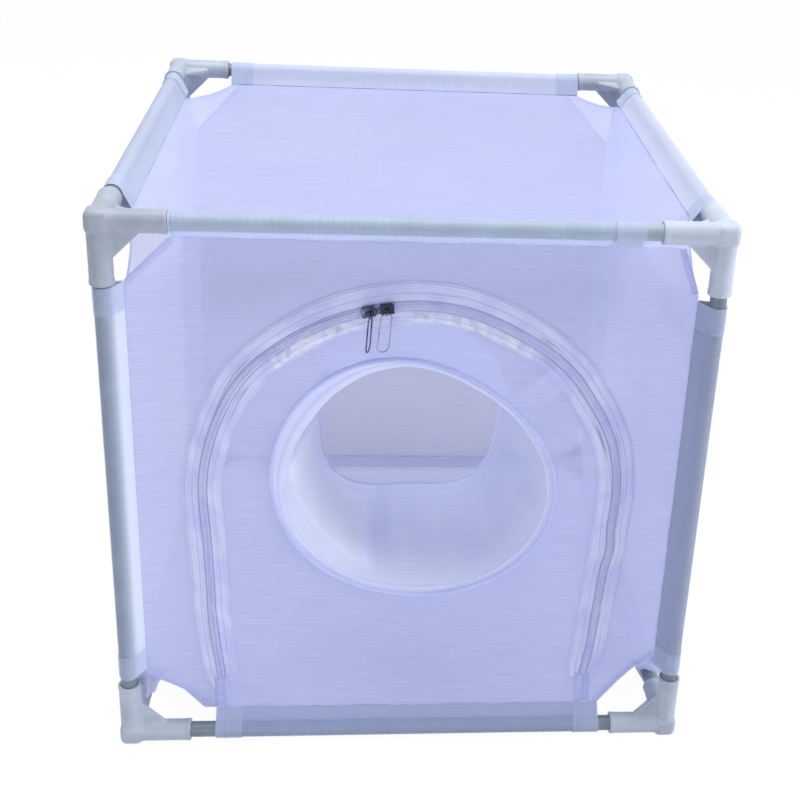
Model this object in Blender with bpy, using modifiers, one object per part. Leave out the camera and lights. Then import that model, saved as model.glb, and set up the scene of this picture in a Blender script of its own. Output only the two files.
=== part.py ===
"""A butterfly habitat cage: a cube of netting hung in a frame of twelve tubes and eight corner connectors.

The front panel has a door closed by an arch-shaped zip with two sliders, and the door has a round arm port
with a cloth sleeve. Metres, +Z up. The front faces -Y, and the origin is on the table under the middle.
"""

import math

import bmesh
import bpy
from mathutils import Matrix, Vector

# Clearance between pieces that meet
GAP = 0.0003

# Frame of tubes and corner connectors
FRAME_SIDE = 0.384  # between the axes of two parallel tubes
TUBE_DIAMETER = 0.011
TUBE_WALL = 0.001
HUB_SIDE = 0.016
HUB_ROUNDING = 0.0045
SOCKET_DIAMETER = 0.0156
SOCKET_REACH = 0.041  # from the corner's middle to the socket's mouth
SOCKET_FLOOR = 0.011  # from the corner's middle to the bottom of the bore
WEB_REACH = 0.024  # from the corner's middle to where the web leaves the socket
WEB_THICKNESS = 0.0032

# Netting and the sleeves that hold it on the tubes
CLOTH = 0.0007
PANEL_INSET = 0.0135  # from a tube's axis to the panels beside it
BARE_TUBE = 0.009  # tube seen between a socket and a pole sleeve

# Zip: an arch of radius set by the margins beside and above it
ZIP_SIDE_MARGIN = 0.0385
ZIP_TOP_MARGIN = 0.0445
ZIP_FOOT_RISE = 0.0195  # door's lower edge above the floor panel
LEG_LEAN = math.radians(3.6)
ZIP_SHIFT = 0.0015  # of the whole zip, to the right
SLIT = 0.0008  # half the way between the two rows of coil
TAPE_REACH = 0.0125  # from the slit's middle to the tape's sewn edge
TAPE_THICKNESS = 0.0006
COIL_WIDTH = 0.0018
COIL_THICKNESS = 0.0016
COIL_FOOT_RISE = 0.0008  # from the hinge line to the door's half, which swings clear of the panel below

# Arm port in the door, its cloth sleeve and the cuff at the sleeve's inner end
PORT_RADIUS = 0.0915
PORT_SHIFT = 0.003
PORT_RISE = 0.015  # of the port's centre over the arch's centre
PORT_HEM_WIDTH = 0.003
PORT_HEM_THICKNESS = 0.0018
SLEEVE_LENGTH = 0.108
SLEEVE_FOLDS = 7
SLEEVE_FOLD_DEPTH = 0.003
CUFF_RADIUS = 0.071
CUFF_THICKNESS = 0.0022
CUFF_LENGTH = 0.006

# Sliders and their wire pulls
SLIDER_LENGTH = 0.0094
SLIDER_WALL = 0.0009
SLIDER_NOSE_GAP = 0.0014
SLIDERS_ALONG_ZIP = -0.0262  # from the arch's top to the middle between the sliders, to the left
BAR_WIRE = 0.001
BAR_LENGTH = 0.0052
LINK_WIRE = 0.0007
LINK_LENGTH = 0.0022  # between the centres of the link's two round ends
LOOP_WIRE = 0.001
LOOP_WIDTH = 0.0083
LOOP_LENGTH = 0.0207

# Steps of the round shapes
TUBE_STEPS = 16
ARCH_STEPS = 36
PORT_STEPS = 40
SLEEVE_RINGS = 6
FOLD_STEPS = 6
LINK_STEPS = 8
LOOP_STEPS = 10
MERGE = 1e-6  # points nearer than this are one point

# Sizes and places that follow from those above
HALF = FRAME_SIDE / 2
CENTRE_Z = HALF + HUB_SIDE / 2
PANEL_HALF = HALF - PANEL_INSET
SLEEVE_HALF = HALF - SOCKET_REACH - BARE_TUBE
FRONT_Y = -PANEL_HALF
FLOOR_Z = CENTRE_Z - PANEL_HALF
ARCH_RADIUS = PANEL_HALF - ZIP_SIDE_MARGIN
ARCH_Z = CENTRE_Z + PANEL_HALF - ZIP_TOP_MARGIN - ARCH_RADIUS
FOOT_Z = FLOOR_Z + ZIP_FOOT_RISE
HINGE = Vector((0, FRONT_Y - CLOTH / 2, FOOT_Z))
ARCH_CENTRE = Vector((ZIP_SHIFT, FRONT_Y, ARCH_Z))
PORT_CENTRE = Vector((PORT_SHIFT, FRONT_Y, ARCH_Z + PORT_RISE))

# Depths in front of the front panel's middle plane
TAPE_BACK = CLOTH / 2 + GAP
TAPE_FRONT = TAPE_BACK + TAPE_THICKNESS
COIL_BACK = TAPE_FRONT + GAP
COIL_FRONT = COIL_BACK + COIL_THICKNESS
PLATE_BACK = COIL_FRONT + GAP
PLATE_FRONT = PLATE_BACK + SLIDER_WALL
LINK_ROUND = BAR_WIRE / 2 + GAP + LINK_WIRE / 2
BAR_FRONT = PLATE_FRONT + LINK_ROUND + LINK_WIRE / 2 + GAP
LINK_DROP = LINK_LENGTH + LINK_ROUND
LOOP_ROUND = LINK_WIRE / 2 + GAP + LOOP_WIRE / 2

SIDES = {"x": {-1: "left", 1: "right"}, "y": {-1: "front", 1: "back"}, "z": {-1: "bottom", 1: "top"}}
FACING_FRONT = (math.pi / 2, 0, 0)  # turns a shape drawn in X and Y to stand in X and Z
FACING_SIDE = (math.pi / 2, 0, math.pi / 2)  # turns a shape drawn in X and Y to stand in Y and Z


def clear_scene():
    for obj in list(bpy.data.objects):
        bpy.data.objects.remove(obj)


def collection(name, hidden=False):
    made = bpy.data.collections.new(name)
    made.hide_render = hidden
    bpy.context.scene.collection.children.link(made)
    return made


def material(name, colour, roughness, metallic=0.0):
    made = bpy.data.materials.new(name)
    made.use_nodes = True
    shader = made.node_tree.nodes["Principled BSDF"]
    shader.inputs["Base Color"].default_value = (*colour, 1)
    shader.inputs["Roughness"].default_value = roughness
    shader.inputs["Metallic"].default_value = metallic
    return made


clear_scene()
CAGE = collection("butterfly_habitat_cage")
CUTTERS = collection("cutters", hidden=True)
NETTING = material("white_netting", (0.55, 0.59, 0.87), 0.85)
SLEEVE_CLOTH = material("pole_sleeve_cloth", (0.50, 0.56, 0.78), 0.85)
TUBE_PLASTIC = material("grey_green_tube", (0.18, 0.235, 0.24), 0.45)
CONNECTOR_PLASTIC = material("off_white_connector", (0.55, 0.60, 0.67), 0.4)
TAPE_CLOTH = material("zip_tape", (0.60, 0.65, 0.92), 0.8)
COIL_NYLON = material("zip_coil", (0.36, 0.40, 0.60), 0.5)
HEM_CLOTH = material("hem_binding", (0.62, 0.67, 0.95), 0.8)
PULL_METAL = material("dark_nickel", (0.10, 0.11, 0.16), 0.35, 1.0)


def add(name, data, finish, location=(0, 0, 0), rotation=(0, 0, 0), group=CAGE):
    """One named piece at its place."""
    if finish:
        data.materials.clear()
        data.materials.append(finish)
    obj = bpy.data.objects.new(name, data)
    obj.location = location
    obj.rotation_euler = rotation
    group.objects.link(obj)
    return obj


def pivot(name, location, parent=None):
    """An empty on a joint's axis, which carries the pieces that move about it."""
    empty = add(name, None, None, location)
    bpy.context.view_layer.update()
    return hang(empty, parent) if parent else empty


def hang(obj, carrier):
    """Parents a piece to what carries it, where it stands."""
    bpy.context.view_layer.update()
    obj.parent = carrier
    obj.matrix_parent_inverse = carrier.matrix_world.inverted()
    return obj


def smooth(mesh, angle=math.radians(35)):
    mesh.shade_smooth()
    mesh.set_sharp_from_angle(angle=angle)
    return mesh


def flat_shape(name, outlines, thickness):
    """A flat cut shape as a 2D curve: the first outline is its edge, and the others are holes."""
    curve = bpy.data.curves.new(name, "CURVE")
    curve.dimensions = "2D"
    curve.fill_mode = "BOTH"
    curve.extrude = thickness / 2
    for outline in outlines:
        spline = curve.splines.new("POLY")
        spline.points.add(len(outline) - 1)
        for point, (across, up) in zip(spline.points, outline):
            point.co = (across, up, 0, 1)
        spline.use_cyclic_u = True
    return curve


def wire_shape(name, points, diameter, closed):
    """A round wire along its points."""
    curve = bpy.data.curves.new(name, "CURVE")
    curve.dimensions = "3D"
    curve.bevel_depth = diameter / 2
    curve.bevel_resolution = 1
    curve.use_fill_caps = not closed
    spline = curve.splines.new("POLY")
    spline.points.add(len(points) - 1)
    for point, place in zip(spline.points, points):
        point.co = (*place, 1)
    spline.use_cyclic_u = closed
    return curve


def mesh_of(obj, name):
    """The finished mesh of an object with its modifiers; the object itself is removed."""
    bpy.context.view_layer.update()
    ready = obj.evaluated_get(bpy.context.evaluated_depsgraph_get())
    mesh = bpy.data.meshes.new_from_object(ready)
    mesh.name = name
    bm = bmesh.new()
    bm.from_mesh(mesh)
    bmesh.ops.remove_doubles(bm, verts=bm.verts, dist=MERGE)
    bm.to_mesh(mesh)
    bm.free()
    bpy.data.objects.remove(obj)
    return mesh


def mesh_from(name, bm):
    mesh = bpy.data.meshes.new(name)
    bm.to_mesh(mesh)
    bm.free()
    return mesh


def arc(radius, start, end, steps, centre=(0, 0)):
    """Points along an arc, both ends included."""
    turns = [start + (end - start) * i / steps for i in range(steps + 1)]
    return [(centre[0] + radius * math.cos(t), centre[1] + radius * math.sin(t)) for t in turns]


def circle(radius, steps, centre=(0, 0)):
    return arc(radius, 0, 2 * math.pi, steps, centre)[:-1]


def belt(top_radius, bottom_radius, distance, steps):
    """The outline of a belt round two circles, the lower one this far below the first."""
    lean = math.asin((bottom_radius - top_radius) / distance)
    top = arc(top_radius, lean, math.pi - lean, steps)
    return top + arc(bottom_radius, math.pi - lean, 2 * math.pi + lean, steps, (0, -distance))


def turned_ring(name, inner, outer, length, steps):
    """A ring about Z with a rectangular section, as a profile and a Screw modifier."""
    bm = bmesh.new()
    section = [(outer, length / 2), (outer, -length / 2), (inner, -length / 2), (inner, length / 2)]
    corners = [bm.verts.new((radius, 0, height)) for radius, height in section]
    for i, corner in enumerate(corners):
        bm.edges.new((corner, corners[(i + 1) % len(corners)]))
    obj = bpy.data.objects.new(name, mesh_from(name, bm))
    CAGE.objects.link(obj)
    screw = obj.modifiers.new("turn", "SCREW")
    screw.axis = "Z"
    screw.angle = 2 * math.pi
    screw.steps = screw.render_steps = steps
    screw.use_merge_vertices = True
    screw.merge_threshold = MERGE
    return smooth(mesh_of(obj, name))


def boolean(obj, operation, tools):
    modifier = obj.modifiers.new(operation.lower(), "BOOLEAN")
    modifier.operation = operation
    modifier.solver = "EXACT"
    modifier.operand_type = "COLLECTION"
    modifier.collection = tools


def tool_group(name, shapes):
    """A hidden collection of shapes that one Boolean adds or cuts."""
    group = bpy.data.collections.new(name)
    CUTTERS.children.link(group)
    group.hide_render = True
    for i, mesh in enumerate(shapes):
        tool = add(f"{name}_{i}", mesh, None, group=group)
        tool.hide_render = True
        tool.display_type = "WIRE"
    return group


def rod(radius, start, end, axis):
    """A solid cylinder along one axis of the corner connector."""
    bm = bmesh.new()
    bmesh.ops.create_cone(
        bm, cap_ends=True, segments=TUBE_STEPS, radius1=radius, radius2=radius, depth=end - start
    )
    half_step = Matrix.Rotation(math.pi / TUBE_STEPS, 4, "Z")
    lift = Matrix.Translation((0, 0, (start + end) / 2))
    turn = Vector((0, 0, 1)).rotation_difference(axis).to_matrix().to_4x4()
    bmesh.ops.transform(bm, matrix=turn @ lift @ half_step, verts=bm.verts)
    return mesh_from("rod", bm)


def web(first, second):
    """The three-cornered web that stiffens the angle between two sockets."""
    reach = WEB_REACH + SOCKET_DIAMETER / 2
    normal = first.cross(second)
    bm = bmesh.new()
    base = [bm.verts.new(p - normal * WEB_THICKNESS / 2) for p in (Vector(), first * reach, second * reach)]
    made = bmesh.ops.extrude_face_region(bm, geom=[bm.faces.new(base)])
    moved = [v for v in made["geom"] if isinstance(v, bmesh.types.BMVert)]
    bmesh.ops.translate(bm, vec=normal * WEB_THICKNESS, verts=moved)
    bmesh.ops.recalc_face_normals(bm, faces=bm.faces)
    return mesh_from("web", bm)


def connector_mesh():
    """A three-way corner with its sockets along +X, +Y and +Z."""
    axes = [Vector((1, 0, 0)), Vector((0, 1, 0)), Vector((0, 0, 1))]
    bm = bmesh.new()
    bmesh.ops.create_cube(bm, size=HUB_SIDE)
    bmesh.ops.bevel(
        bm, geom=bm.edges, offset=HUB_ROUNDING, segments=2, profile=0.5, affect="EDGES", material=-1
    )
    hub = add("hub", mesh_from("hub", bm), None)
    bore = TUBE_DIAMETER / 2 + GAP
    sockets = [rod(SOCKET_DIAMETER / 2, 0, SOCKET_REACH, axis) for axis in axes]
    webs = [web(axes[i], axes[(i + 1) % 3]) for i in range(3)]
    bores = [rod(bore, SOCKET_FLOOR, SOCKET_REACH + bore, axis) for axis in axes]
    boolean(hub, "UNION", tool_group("sockets_and_webs", sockets + webs))
    boolean(hub, "DIFFERENCE", tool_group("bores", bores))
    return smooth(mesh_of(hub, "connector"))


def make_connectors():
    mesh = connector_mesh()
    quarter = {(-1, -1): 0, (1, -1): 1, (1, 1): 2, (-1, 1): 3}
    for z in (-1, 1):
        for (x, y), turns in quarter.items():
            name = f"connector_{SIDES['y'][y]}_{SIDES['z'][z]}_{SIDES['x'][x]}"
            # An upper corner is a lower one turned over, which also moves it a quarter turn round.
            turn = (turns if z < 0 else turns + 1) * math.pi / 2
            place = (x * HALF, y * HALF, CENTRE_Z + z * HALF)
            add(name, mesh, CONNECTOR_PLASTIC, place, (math.pi if z > 0 else 0, 0, turn))


def frame_edges():
    """The twelve edges of the frame: name, middle, direction and the way to the cage's middle."""
    axes = {"x": Vector((1, 0, 0)), "y": Vector((0, 1, 0)), "z": Vector((0, 0, 1))}
    pairs = {"x": ("y", "z"), "y": ("x", "z"), "z": ("y", "x")}
    for along, (first, second) in pairs.items():
        for a in (-1, 1):
            for b in (-1, 1):
                out = axes[first] * a + axes[second] * b
                middle = Vector((0, 0, CENTRE_Z)) + out * HALF
                yield f"{SIDES[first][a]}_{SIDES[second][b]}", middle, axes[along], -out.normalized()


def make_tubes():
    length = FRAME_SIDE - 2 * (SOCKET_FLOOR + GAP)
    outer = TUBE_DIAMETER / 2
    mesh = turned_ring("tube", outer - TUBE_WALL, outer, length, TUBE_STEPS)
    for name, middle, along, _ in frame_edges():
        turn = Vector((0, 0, 1)).rotation_difference(along).to_euler()
        add(f"tube_{name}", mesh, TUBE_PLASTIC, middle, turn)


def make_pole_sleeves():
    """Cloth channels on the tubes, each with the seam flange that holds the netting box."""
    inner = TUBE_DIAMETER / 2 + GAP
    outer = inner + CLOTH
    flange_end = math.sqrt(2) * (PANEL_INSET - CLOTH / 2) - GAP
    start = math.asin(CLOTH / outer)
    loop = arc(outer, start, 2 * math.pi - start, TUBE_STEPS + 2)
    outline = [(flange_end, CLOTH), *loop, (flange_end, -CLOTH)]
    shape = flat_shape("pole_sleeve", [outline, circle(inner, TUBE_STEPS)], 2 * SLEEVE_HALF)
    for name, middle, along, inward in frame_edges():
        turn = Matrix((inward, along.cross(inward), along)).transposed().to_euler()
        add(f"pole_sleeve_{name}", shape, SLEEVE_CLOTH, middle, turn)


def cut_corner_square(half_width, half_height, middle=(0, 0)):
    """A panel's outline, its corners cut off between the ends of the pole sleeves beside it."""
    outline = []
    for x, y in ((1, 1), (-1, 1), (-1, -1), (1, -1)):
        ends = [(x * half_width, y * SLEEVE_HALF), (x * SLEEVE_HALF, y * half_height)]
        outline += ends if x * y > 0 else ends[::-1]
    return [(middle[0] + across, middle[1] + up) for across, up in outline]


def arch(offset, foot):
    """A line at one distance outside the zip's middle line: up the left leg, over, and down the right."""
    radius = ARCH_RADIUS + offset
    over = arc(radius, math.pi + LEG_LEAN, -LEG_LEAN, ARCH_STEPS, (ZIP_SHIFT, ARCH_Z))
    shift = (over[0][1] - foot) * math.tan(LEG_LEAN)
    return [(over[0][0] + shift, foot), *over, (over[-1][0] - shift, foot)]


def arch_strip(name, near, far, foot, thickness):
    """A band that follows the zip between two distances from its middle line."""
    return flat_shape(name, [arch(far, foot) + arch(near, foot)[::-1]], thickness)


def make_panels():
    """Six netting panels, the front one with the arch cut out for the door."""
    full = PANEL_HALF + CLOTH / 2
    between = PANEL_HALF - CLOTH / 2 - GAP
    standing = cut_corner_square(full, full, (0, CENTRE_Z))
    frame_foot = FOOT_Z - GAP / 2
    front = flat_shape("front_panel", [standing, arch(SLIT, frame_foot)], CLOTH)
    add("front_panel", front, NETTING, (0, FRONT_Y, 0), FACING_FRONT)
    back = flat_shape("back_panel", [standing], CLOTH)
    add("back_panel", back, NETTING, (0, PANEL_HALF, 0), FACING_FRONT)
    side = flat_shape("side_panel", [cut_corner_square(between, full, (0, CENTRE_Z))], CLOTH)
    lying = flat_shape("lying_panel", [cut_corner_square(between, between)], CLOTH)
    for sign in (-1, 1):
        add(f"{SIDES['x'][sign]}_panel", side, NETTING, (sign * PANEL_HALF, 0, 0), FACING_SIDE)
    add("floor_panel", lying, NETTING, (0, 0, FLOOR_Z))
    add("top_panel", lying, NETTING, (0, 0, CENTRE_Z + PANEL_HALF))


def make_zip_halves(door):
    """The two sewn tapes and rows of coil, one half on the cage and one on the door."""
    tape_y = FRONT_Y - (TAPE_BACK + TAPE_FRONT) / 2
    coil_y = FRONT_Y - (COIL_BACK + COIL_FRONT) / 2
    halves = {"frame": (1, FOOT_Z - GAP / 2, None), "door": (-1, FOOT_Z + COIL_FOOT_RISE, door)}
    for half, (side, foot, carrier) in halves.items():
        near = side * SLIT
        tape = arch_strip(f"{half}_zip_tape", near, side * TAPE_REACH, foot, TAPE_THICKNESS)
        coil = arch_strip(f"{half}_zip_coil", near, side * (SLIT + COIL_WIDTH), foot, COIL_THICKNESS)
        pieces = [add(tape.name, tape, TAPE_CLOTH, (0, tape_y, 0), FACING_FRONT)]
        pieces.append(add(coil.name, coil, COIL_NYLON, (0, coil_y, 0), FACING_FRONT))
        for piece in pieces:
            if carrier:
                hang(piece, carrier)


def make_door():
    """The door panel with its round arm port, on a hinge line along its lower edge."""
    door = pivot("door_hinge", HINGE)
    hole = PORT_RADIUS + PORT_HEM_WIDTH + GAP
    rim = circle(hole, PORT_STEPS, (PORT_CENTRE.x, PORT_CENTRE.z))
    panel = flat_shape("door_panel", [arch(-SLIT, FOOT_Z + GAP / 2), rim], CLOTH)
    hang(add("door_panel", panel, NETTING, (0, FRONT_Y, 0), FACING_FRONT), door)
    hem = turned_ring(
        "port_hem", PORT_RADIUS, PORT_RADIUS + PORT_HEM_WIDTH, PORT_HEM_THICKNESS, PORT_STEPS
    )
    hang(add("port_hem", hem, HEM_CLOTH, PORT_CENTRE, FACING_FRONT), door)
    return door


def make_arm_sleeve(door):
    """A cloth funnel behind the port, in soft lengthwise folds, and the cuff at its inner end."""
    port_end = PORT_RADIUS + PORT_HEM_WIDTH / 2
    cuff_end = CUFF_RADIUS + CUFF_THICKNESS / 2
    bm = bmesh.new()
    steps = SLEEVE_FOLDS * FOLD_STEPS
    bmesh.ops.create_cone(
        bm, cap_ends=False, segments=steps, radius1=cuff_end, radius2=port_end, depth=SLEEVE_LENGTH
    )
    lengthwise = [edge for edge in bm.edges if abs(edge.verts[0].co.z - edge.verts[1].co.z) > GAP]
    bmesh.ops.subdivide_edges(bm, edges=lengthwise, cuts=SLEEVE_RINGS - 1)
    for vert in bm.verts:
        along = vert.co.z / SLEEVE_LENGTH + 0.5
        turn = math.atan2(vert.co.y, vert.co.x)
        fold = SLEEVE_FOLD_DEPTH * math.sin(math.pi * along) * math.cos(SLEEVE_FOLDS * turn)
        vert.co.xy += fold * vert.co.xy.normalized()
    start = FRONT_Y + PORT_HEM_THICKNESS / 2 + GAP
    end = start + SLEEVE_LENGTH
    middle = (PORT_CENTRE.x, (start + end) / 2, PORT_CENTRE.z)
    sleeve = add("arm_sleeve", smooth(mesh_from("arm_sleeve", bm)), NETTING, middle, FACING_FRONT)
    wall = sleeve.modifiers.new("cloth", "SOLIDIFY")
    wall.thickness = CLOTH
    wall.offset = 0
    hang(sleeve, door)
    cuff_y = end + GAP + CUFF_LENGTH / 2
    slide = pivot("cuff_slide", (PORT_CENTRE.x, cuff_y, PORT_CENTRE.z), door)
    ring = turned_ring("cuff_hem", CUFF_RADIUS, CUFF_RADIUS + CUFF_THICKNESS, CUFF_LENGTH, PORT_STEPS)
    hang(add("cuff_hem", ring, HEM_CLOTH, slide.matrix_world.translation, FACING_FRONT), slide)


def slider_mesh():
    """A slider at the arch's top, drawn about the arch's centre.

    Its front plate and two flanges straddle both rows of coil, and a post runs down the slit to a back plate
    behind the door's half. It has no plate behind the cage's half, so the door can swing out from any place.
    """
    half_width = SLIT + COIL_WIDTH + GAP + SLIDER_WALL
    inside = half_width - SLIDER_WALL
    post = SLIT - GAP
    lip = COIL_BACK
    back = -CLOTH / 2 - GAP
    section = [
        (half_width, PLATE_FRONT), (half_width, lip), (inside, lip), (inside, PLATE_BACK),
        (post, PLATE_BACK), (post, back - SLIDER_WALL), (-half_width, back - SLIDER_WALL), (-half_width, back),
        (-post, back), (-post, PLATE_BACK), (-inside, PLATE_BACK), (-inside, lip),
        (-half_width, lip), (-half_width, PLATE_FRONT),
    ]
    bm = bmesh.new()
    profile = [bm.verts.new((-SLIDER_LENGTH / 2, -f, ARCH_RADIUS + u)) for u, f in section]
    made = bmesh.ops.extrude_face_region(bm, geom=[bm.faces.new(profile)])
    moved = [v for v in made["geom"] if isinstance(v, bmesh.types.BMVert)]
    bmesh.ops.translate(bm, vec=(SLIDER_LENGTH, 0, 0), verts=moved)
    bmesh.ops.recalc_face_normals(bm, faces=bm.faces)
    body = add("slider_body", mesh_from("slider_body", bm), None)
    boolean(body, "UNION", tool_group("slider_bar", [crown_bar_mesh()]))
    return smooth(mesh_of(body, "slider"))


def crown_bar_mesh():
    """The bent bar on the slider's plate that carries the pull."""
    reach = BAR_LENGTH / 2
    bend = BAR_WIRE
    rooted = PLATE_FRONT - SLIDER_WALL / 2
    heights = [(reach + bend, rooted), (reach + bend, BAR_FRONT - bend), (reach, BAR_FRONT)]
    points = [(-x, -f, ARCH_RADIUS) for x, f in heights] + [(x, -f, ARCH_RADIUS) for x, f in heights[::-1]]
    return mesh_of(add("bar", wire_shape("bar", points, BAR_WIRE, closed=False), None), "bar")


def make_sliders(door):
    """Two sliders nose to nose, each with a small link and a long wire loop that hangs straight down."""
    body = slider_mesh()
    link_outline = belt(LINK_ROUND, LINK_ROUND, LINK_LENGTH, LINK_STEPS)
    link = wire_shape("pull_link", [(0, across, up) for across, up in link_outline], LINK_WIRE, closed=True)
    low_round = (LOOP_WIDTH - LOOP_WIRE) / 2
    fall = LOOP_LENGTH - LOOP_ROUND - LOOP_WIRE - low_round
    loop_outline = belt(LOOP_ROUND, low_round, fall, LOOP_STEPS)
    loop = wire_shape("pull_loop", [(across, 0, up) for across, up in loop_outline], LOOP_WIRE, closed=True)
    spacing = SLIDER_LENGTH + SLIDER_NOSE_GAP
    for side, sign in (("left", -1), ("right", 1)):
        turn = (SLIDERS_ALONG_ZIP + sign * spacing / 2) / ARCH_RADIUS
        turned = Matrix.Rotation(turn, 3, "Y")
        bar = ARCH_CENTRE + turned @ Vector((0, -BAR_FRONT, ARCH_RADIUS))
        eye = bar + turned @ Vector((0, 0, -LINK_DROP))
        slider = add(f"slider_{side}", body, PULL_METAL, ARCH_CENTRE, (0, turn, 0))
        hang(slider, door)
        link_piece = hang(add(f"pull_link_{side}", link, PULL_METAL, bar, (0, turn, 0)), slider)
        hang(add(f"pull_loop_{side}", loop, PULL_METAL, eye), link_piece)
        print(f"slider_{side}: {math.degrees(turn):.3f} degrees from the arch's top")
        print(f"pull_link_{side}: bar at {tuple(round(c, 6) for c in bar)}")
        print(f"pull_loop_{side}: eye at {tuple(round(c, 6) for c in eye)}")


def main():
    make_connectors()
    make_tubes()
    make_pole_sleeves()
    make_panels()
    door = make_door()
    make_zip_halves(door)
    make_arm_sleeve(door)
    make_sliders(door)
    print("door hinge", tuple(round(c, 6) for c in HINGE))
    print("arch centre", tuple(round(c, 6) for c in ARCH_CENTRE), "radius", round(ARCH_RADIUS, 6))
    print("port centre", tuple(round(c, 6) for c in PORT_CENTRE))


main()
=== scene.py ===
# %% [markdown]
# # A butterfly habitat cage
# The cage is a cube of fine white netting that hangs in a frame of twelve plastic tubes. Eight moulded
# corner connectors join the tubes. The front has a door with an arch-shaped zip, and the door has a round
# arm port with a cloth sleeve, so that a keeper's arm goes in and the butterflies stay in. The model's
# frame comes first: it says where every piece stands and which body it moves with.
# %% Load the frame
import math
from itertools import product

import bmesh
import bpy
from mathutils import Matrix, Vector, noise


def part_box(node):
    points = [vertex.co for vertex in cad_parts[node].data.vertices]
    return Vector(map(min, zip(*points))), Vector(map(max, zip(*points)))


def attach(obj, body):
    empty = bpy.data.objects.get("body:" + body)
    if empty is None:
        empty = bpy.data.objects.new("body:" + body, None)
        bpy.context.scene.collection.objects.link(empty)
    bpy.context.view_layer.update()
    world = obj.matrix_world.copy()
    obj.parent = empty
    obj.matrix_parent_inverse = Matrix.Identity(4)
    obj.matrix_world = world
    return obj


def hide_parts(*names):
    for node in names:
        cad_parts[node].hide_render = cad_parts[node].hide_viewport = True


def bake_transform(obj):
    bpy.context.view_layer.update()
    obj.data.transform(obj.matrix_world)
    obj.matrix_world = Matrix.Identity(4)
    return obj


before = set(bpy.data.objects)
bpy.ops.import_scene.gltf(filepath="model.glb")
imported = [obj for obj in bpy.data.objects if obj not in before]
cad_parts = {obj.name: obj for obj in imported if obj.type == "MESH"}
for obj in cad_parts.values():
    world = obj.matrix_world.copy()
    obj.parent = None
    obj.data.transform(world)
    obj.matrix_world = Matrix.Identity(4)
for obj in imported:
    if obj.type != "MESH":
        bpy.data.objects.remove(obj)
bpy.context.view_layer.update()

# %% [markdown]
# ## Sizes
# Every size that the frame already holds is read from it, so that a new piece fits what carries it. A tube
# lies on its axis, and a panel on its middle plane.
# %% Places of the frame
MILLIMETRE = 0.001
X, Y, Z = Vector((1, 0, 0)), Vector((0, 1, 0)), Vector((0, 0, 1))


def middle(node):
    low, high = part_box(node)
    return (Vector(low) + Vector(high)) / 2


def extent(node):
    low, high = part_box(node)
    return Vector(high) - Vector(low)


HALF = middle("tube_front_right").x
CENTRE = Vector((0, 0, middle("tube_front_right").z))
TUBE_RADIUS = extent("tube_front_top").z / 2
TUBE_LENGTH = extent("tube_front_top").x
PANEL_HALF = middle("right_panel").x
FRONT_Y = -middle("back_panel").y
FLOOR_Z = middle("floor_panel").z
CEILING_Z = middle("top_panel").z
SLEEVE_HALF = extent("pole_sleeve_front_top").x / 2
HUB_HALF = abs(HALF + Vector(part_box("connector_front_top_left")[0]).x)
SOCKET_REACH = extent("connector_front_top_left").x - HUB_HALF
print(f"tube axes {2 * HALF * 1000:.0f} mm apart, panels {2 * PANEL_HALF * 1000:.0f} mm apart")

# %% [markdown]
# The zip is a round arch on two legs that lean in a little. The arch is worked out from the box of its row of
# coil, and the arm port is a ring inside it.
# %% Places of the zip and the port
SLIT = 0.0008  # half the way between the two rows of coil
COIL_WIDTH = 0.0018
CLOTH_SLIT = 0.00012  # half the way between the two cloths, which all but meet
LEG_LEAN = math.radians(3.6)
coil_low, coil_high = (Vector(corner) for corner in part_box("frame_zip_coil"))
ARCH_X = (coil_low.x + coil_high.x) / 2
COIL_OUTSIDE = coil_high.x - ARCH_X
ARCH_RADIUS = COIL_OUTSIDE - SLIT - COIL_WIDTH
ARCH_Z = coil_high.z - COIL_OUTSIDE
FOOT_Z = coil_low.z
PORT = middle("port_hem")
PORT_RADIUS = extent("port_hem").x / 2
CUFF = middle("cuff_hem")
CUFF_RADIUS = extent("cuff_hem").x / 2
print(f"arch radius {ARCH_RADIUS * 1000:.1f} mm round z {ARCH_Z * 1000:.1f} mm")
print(f"port {PORT_RADIUS * 2000:.0f} mm across, cuff {CUFF_RADIUS * 2000:.0f} mm across")

# %% [markdown]
# ## Camera
# The photograph looks down on the cage from a little left of its middle. A camera is a place, a heading, a
# pitch and a small roll, and its lens follows from how fast the cage's sides draw together.
# %% Camera
CAMERA_PLACE = Vector((-0.03468, -0.97183, 0.67447))
CAMERA_HEADING = 0.1146  # radians towards +X
CAMERA_PITCH = 0.4168  # radians below the horizon
CAMERA_ROLL = 0.0618
FOCAL_PIXELS = 1352.9
LENS_MIDDLE = (503.7, 325.7)  # the pixel that the lens points at, since the photograph is cropped
PHOTO_WIDTH = 800
SENSOR_WIDTH = 36


def added(name, data):
    """A new object that shows this mesh, curve, lamp or camera."""
    made = bpy.data.objects.new(name, data)
    bpy.context.scene.collection.objects.link(made)
    return made


camera_data = bpy.data.cameras.new("camera")
camera_data.sensor_width = SENSOR_WIDTH
camera_data.lens = SENSOR_WIDTH * FOCAL_PIXELS / PHOTO_WIDTH
camera_data.shift_x = (PHOTO_WIDTH / 2 - LENS_MIDDLE[0]) / PHOTO_WIDTH
camera_data.shift_y = (LENS_MIDDLE[1] - PHOTO_WIDTH / 2) / PHOTO_WIDTH
level = Vector((math.cos(CAMERA_HEADING), -math.sin(CAMERA_HEADING), 0))
ahead = Vector((math.sin(CAMERA_HEADING), math.cos(CAMERA_HEADING), 0))
ahead = (ahead * math.cos(CAMERA_PITCH) - Z * math.sin(CAMERA_PITCH)).normalized()
over = level.cross(ahead)
right = level * math.cos(CAMERA_ROLL) + over * math.sin(CAMERA_ROLL)
above = over * math.cos(CAMERA_ROLL) - level * math.sin(CAMERA_ROLL)
turn = Matrix((right, above, -ahead)).transposed().to_4x4()
camera = added("camera", camera_data)
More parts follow.
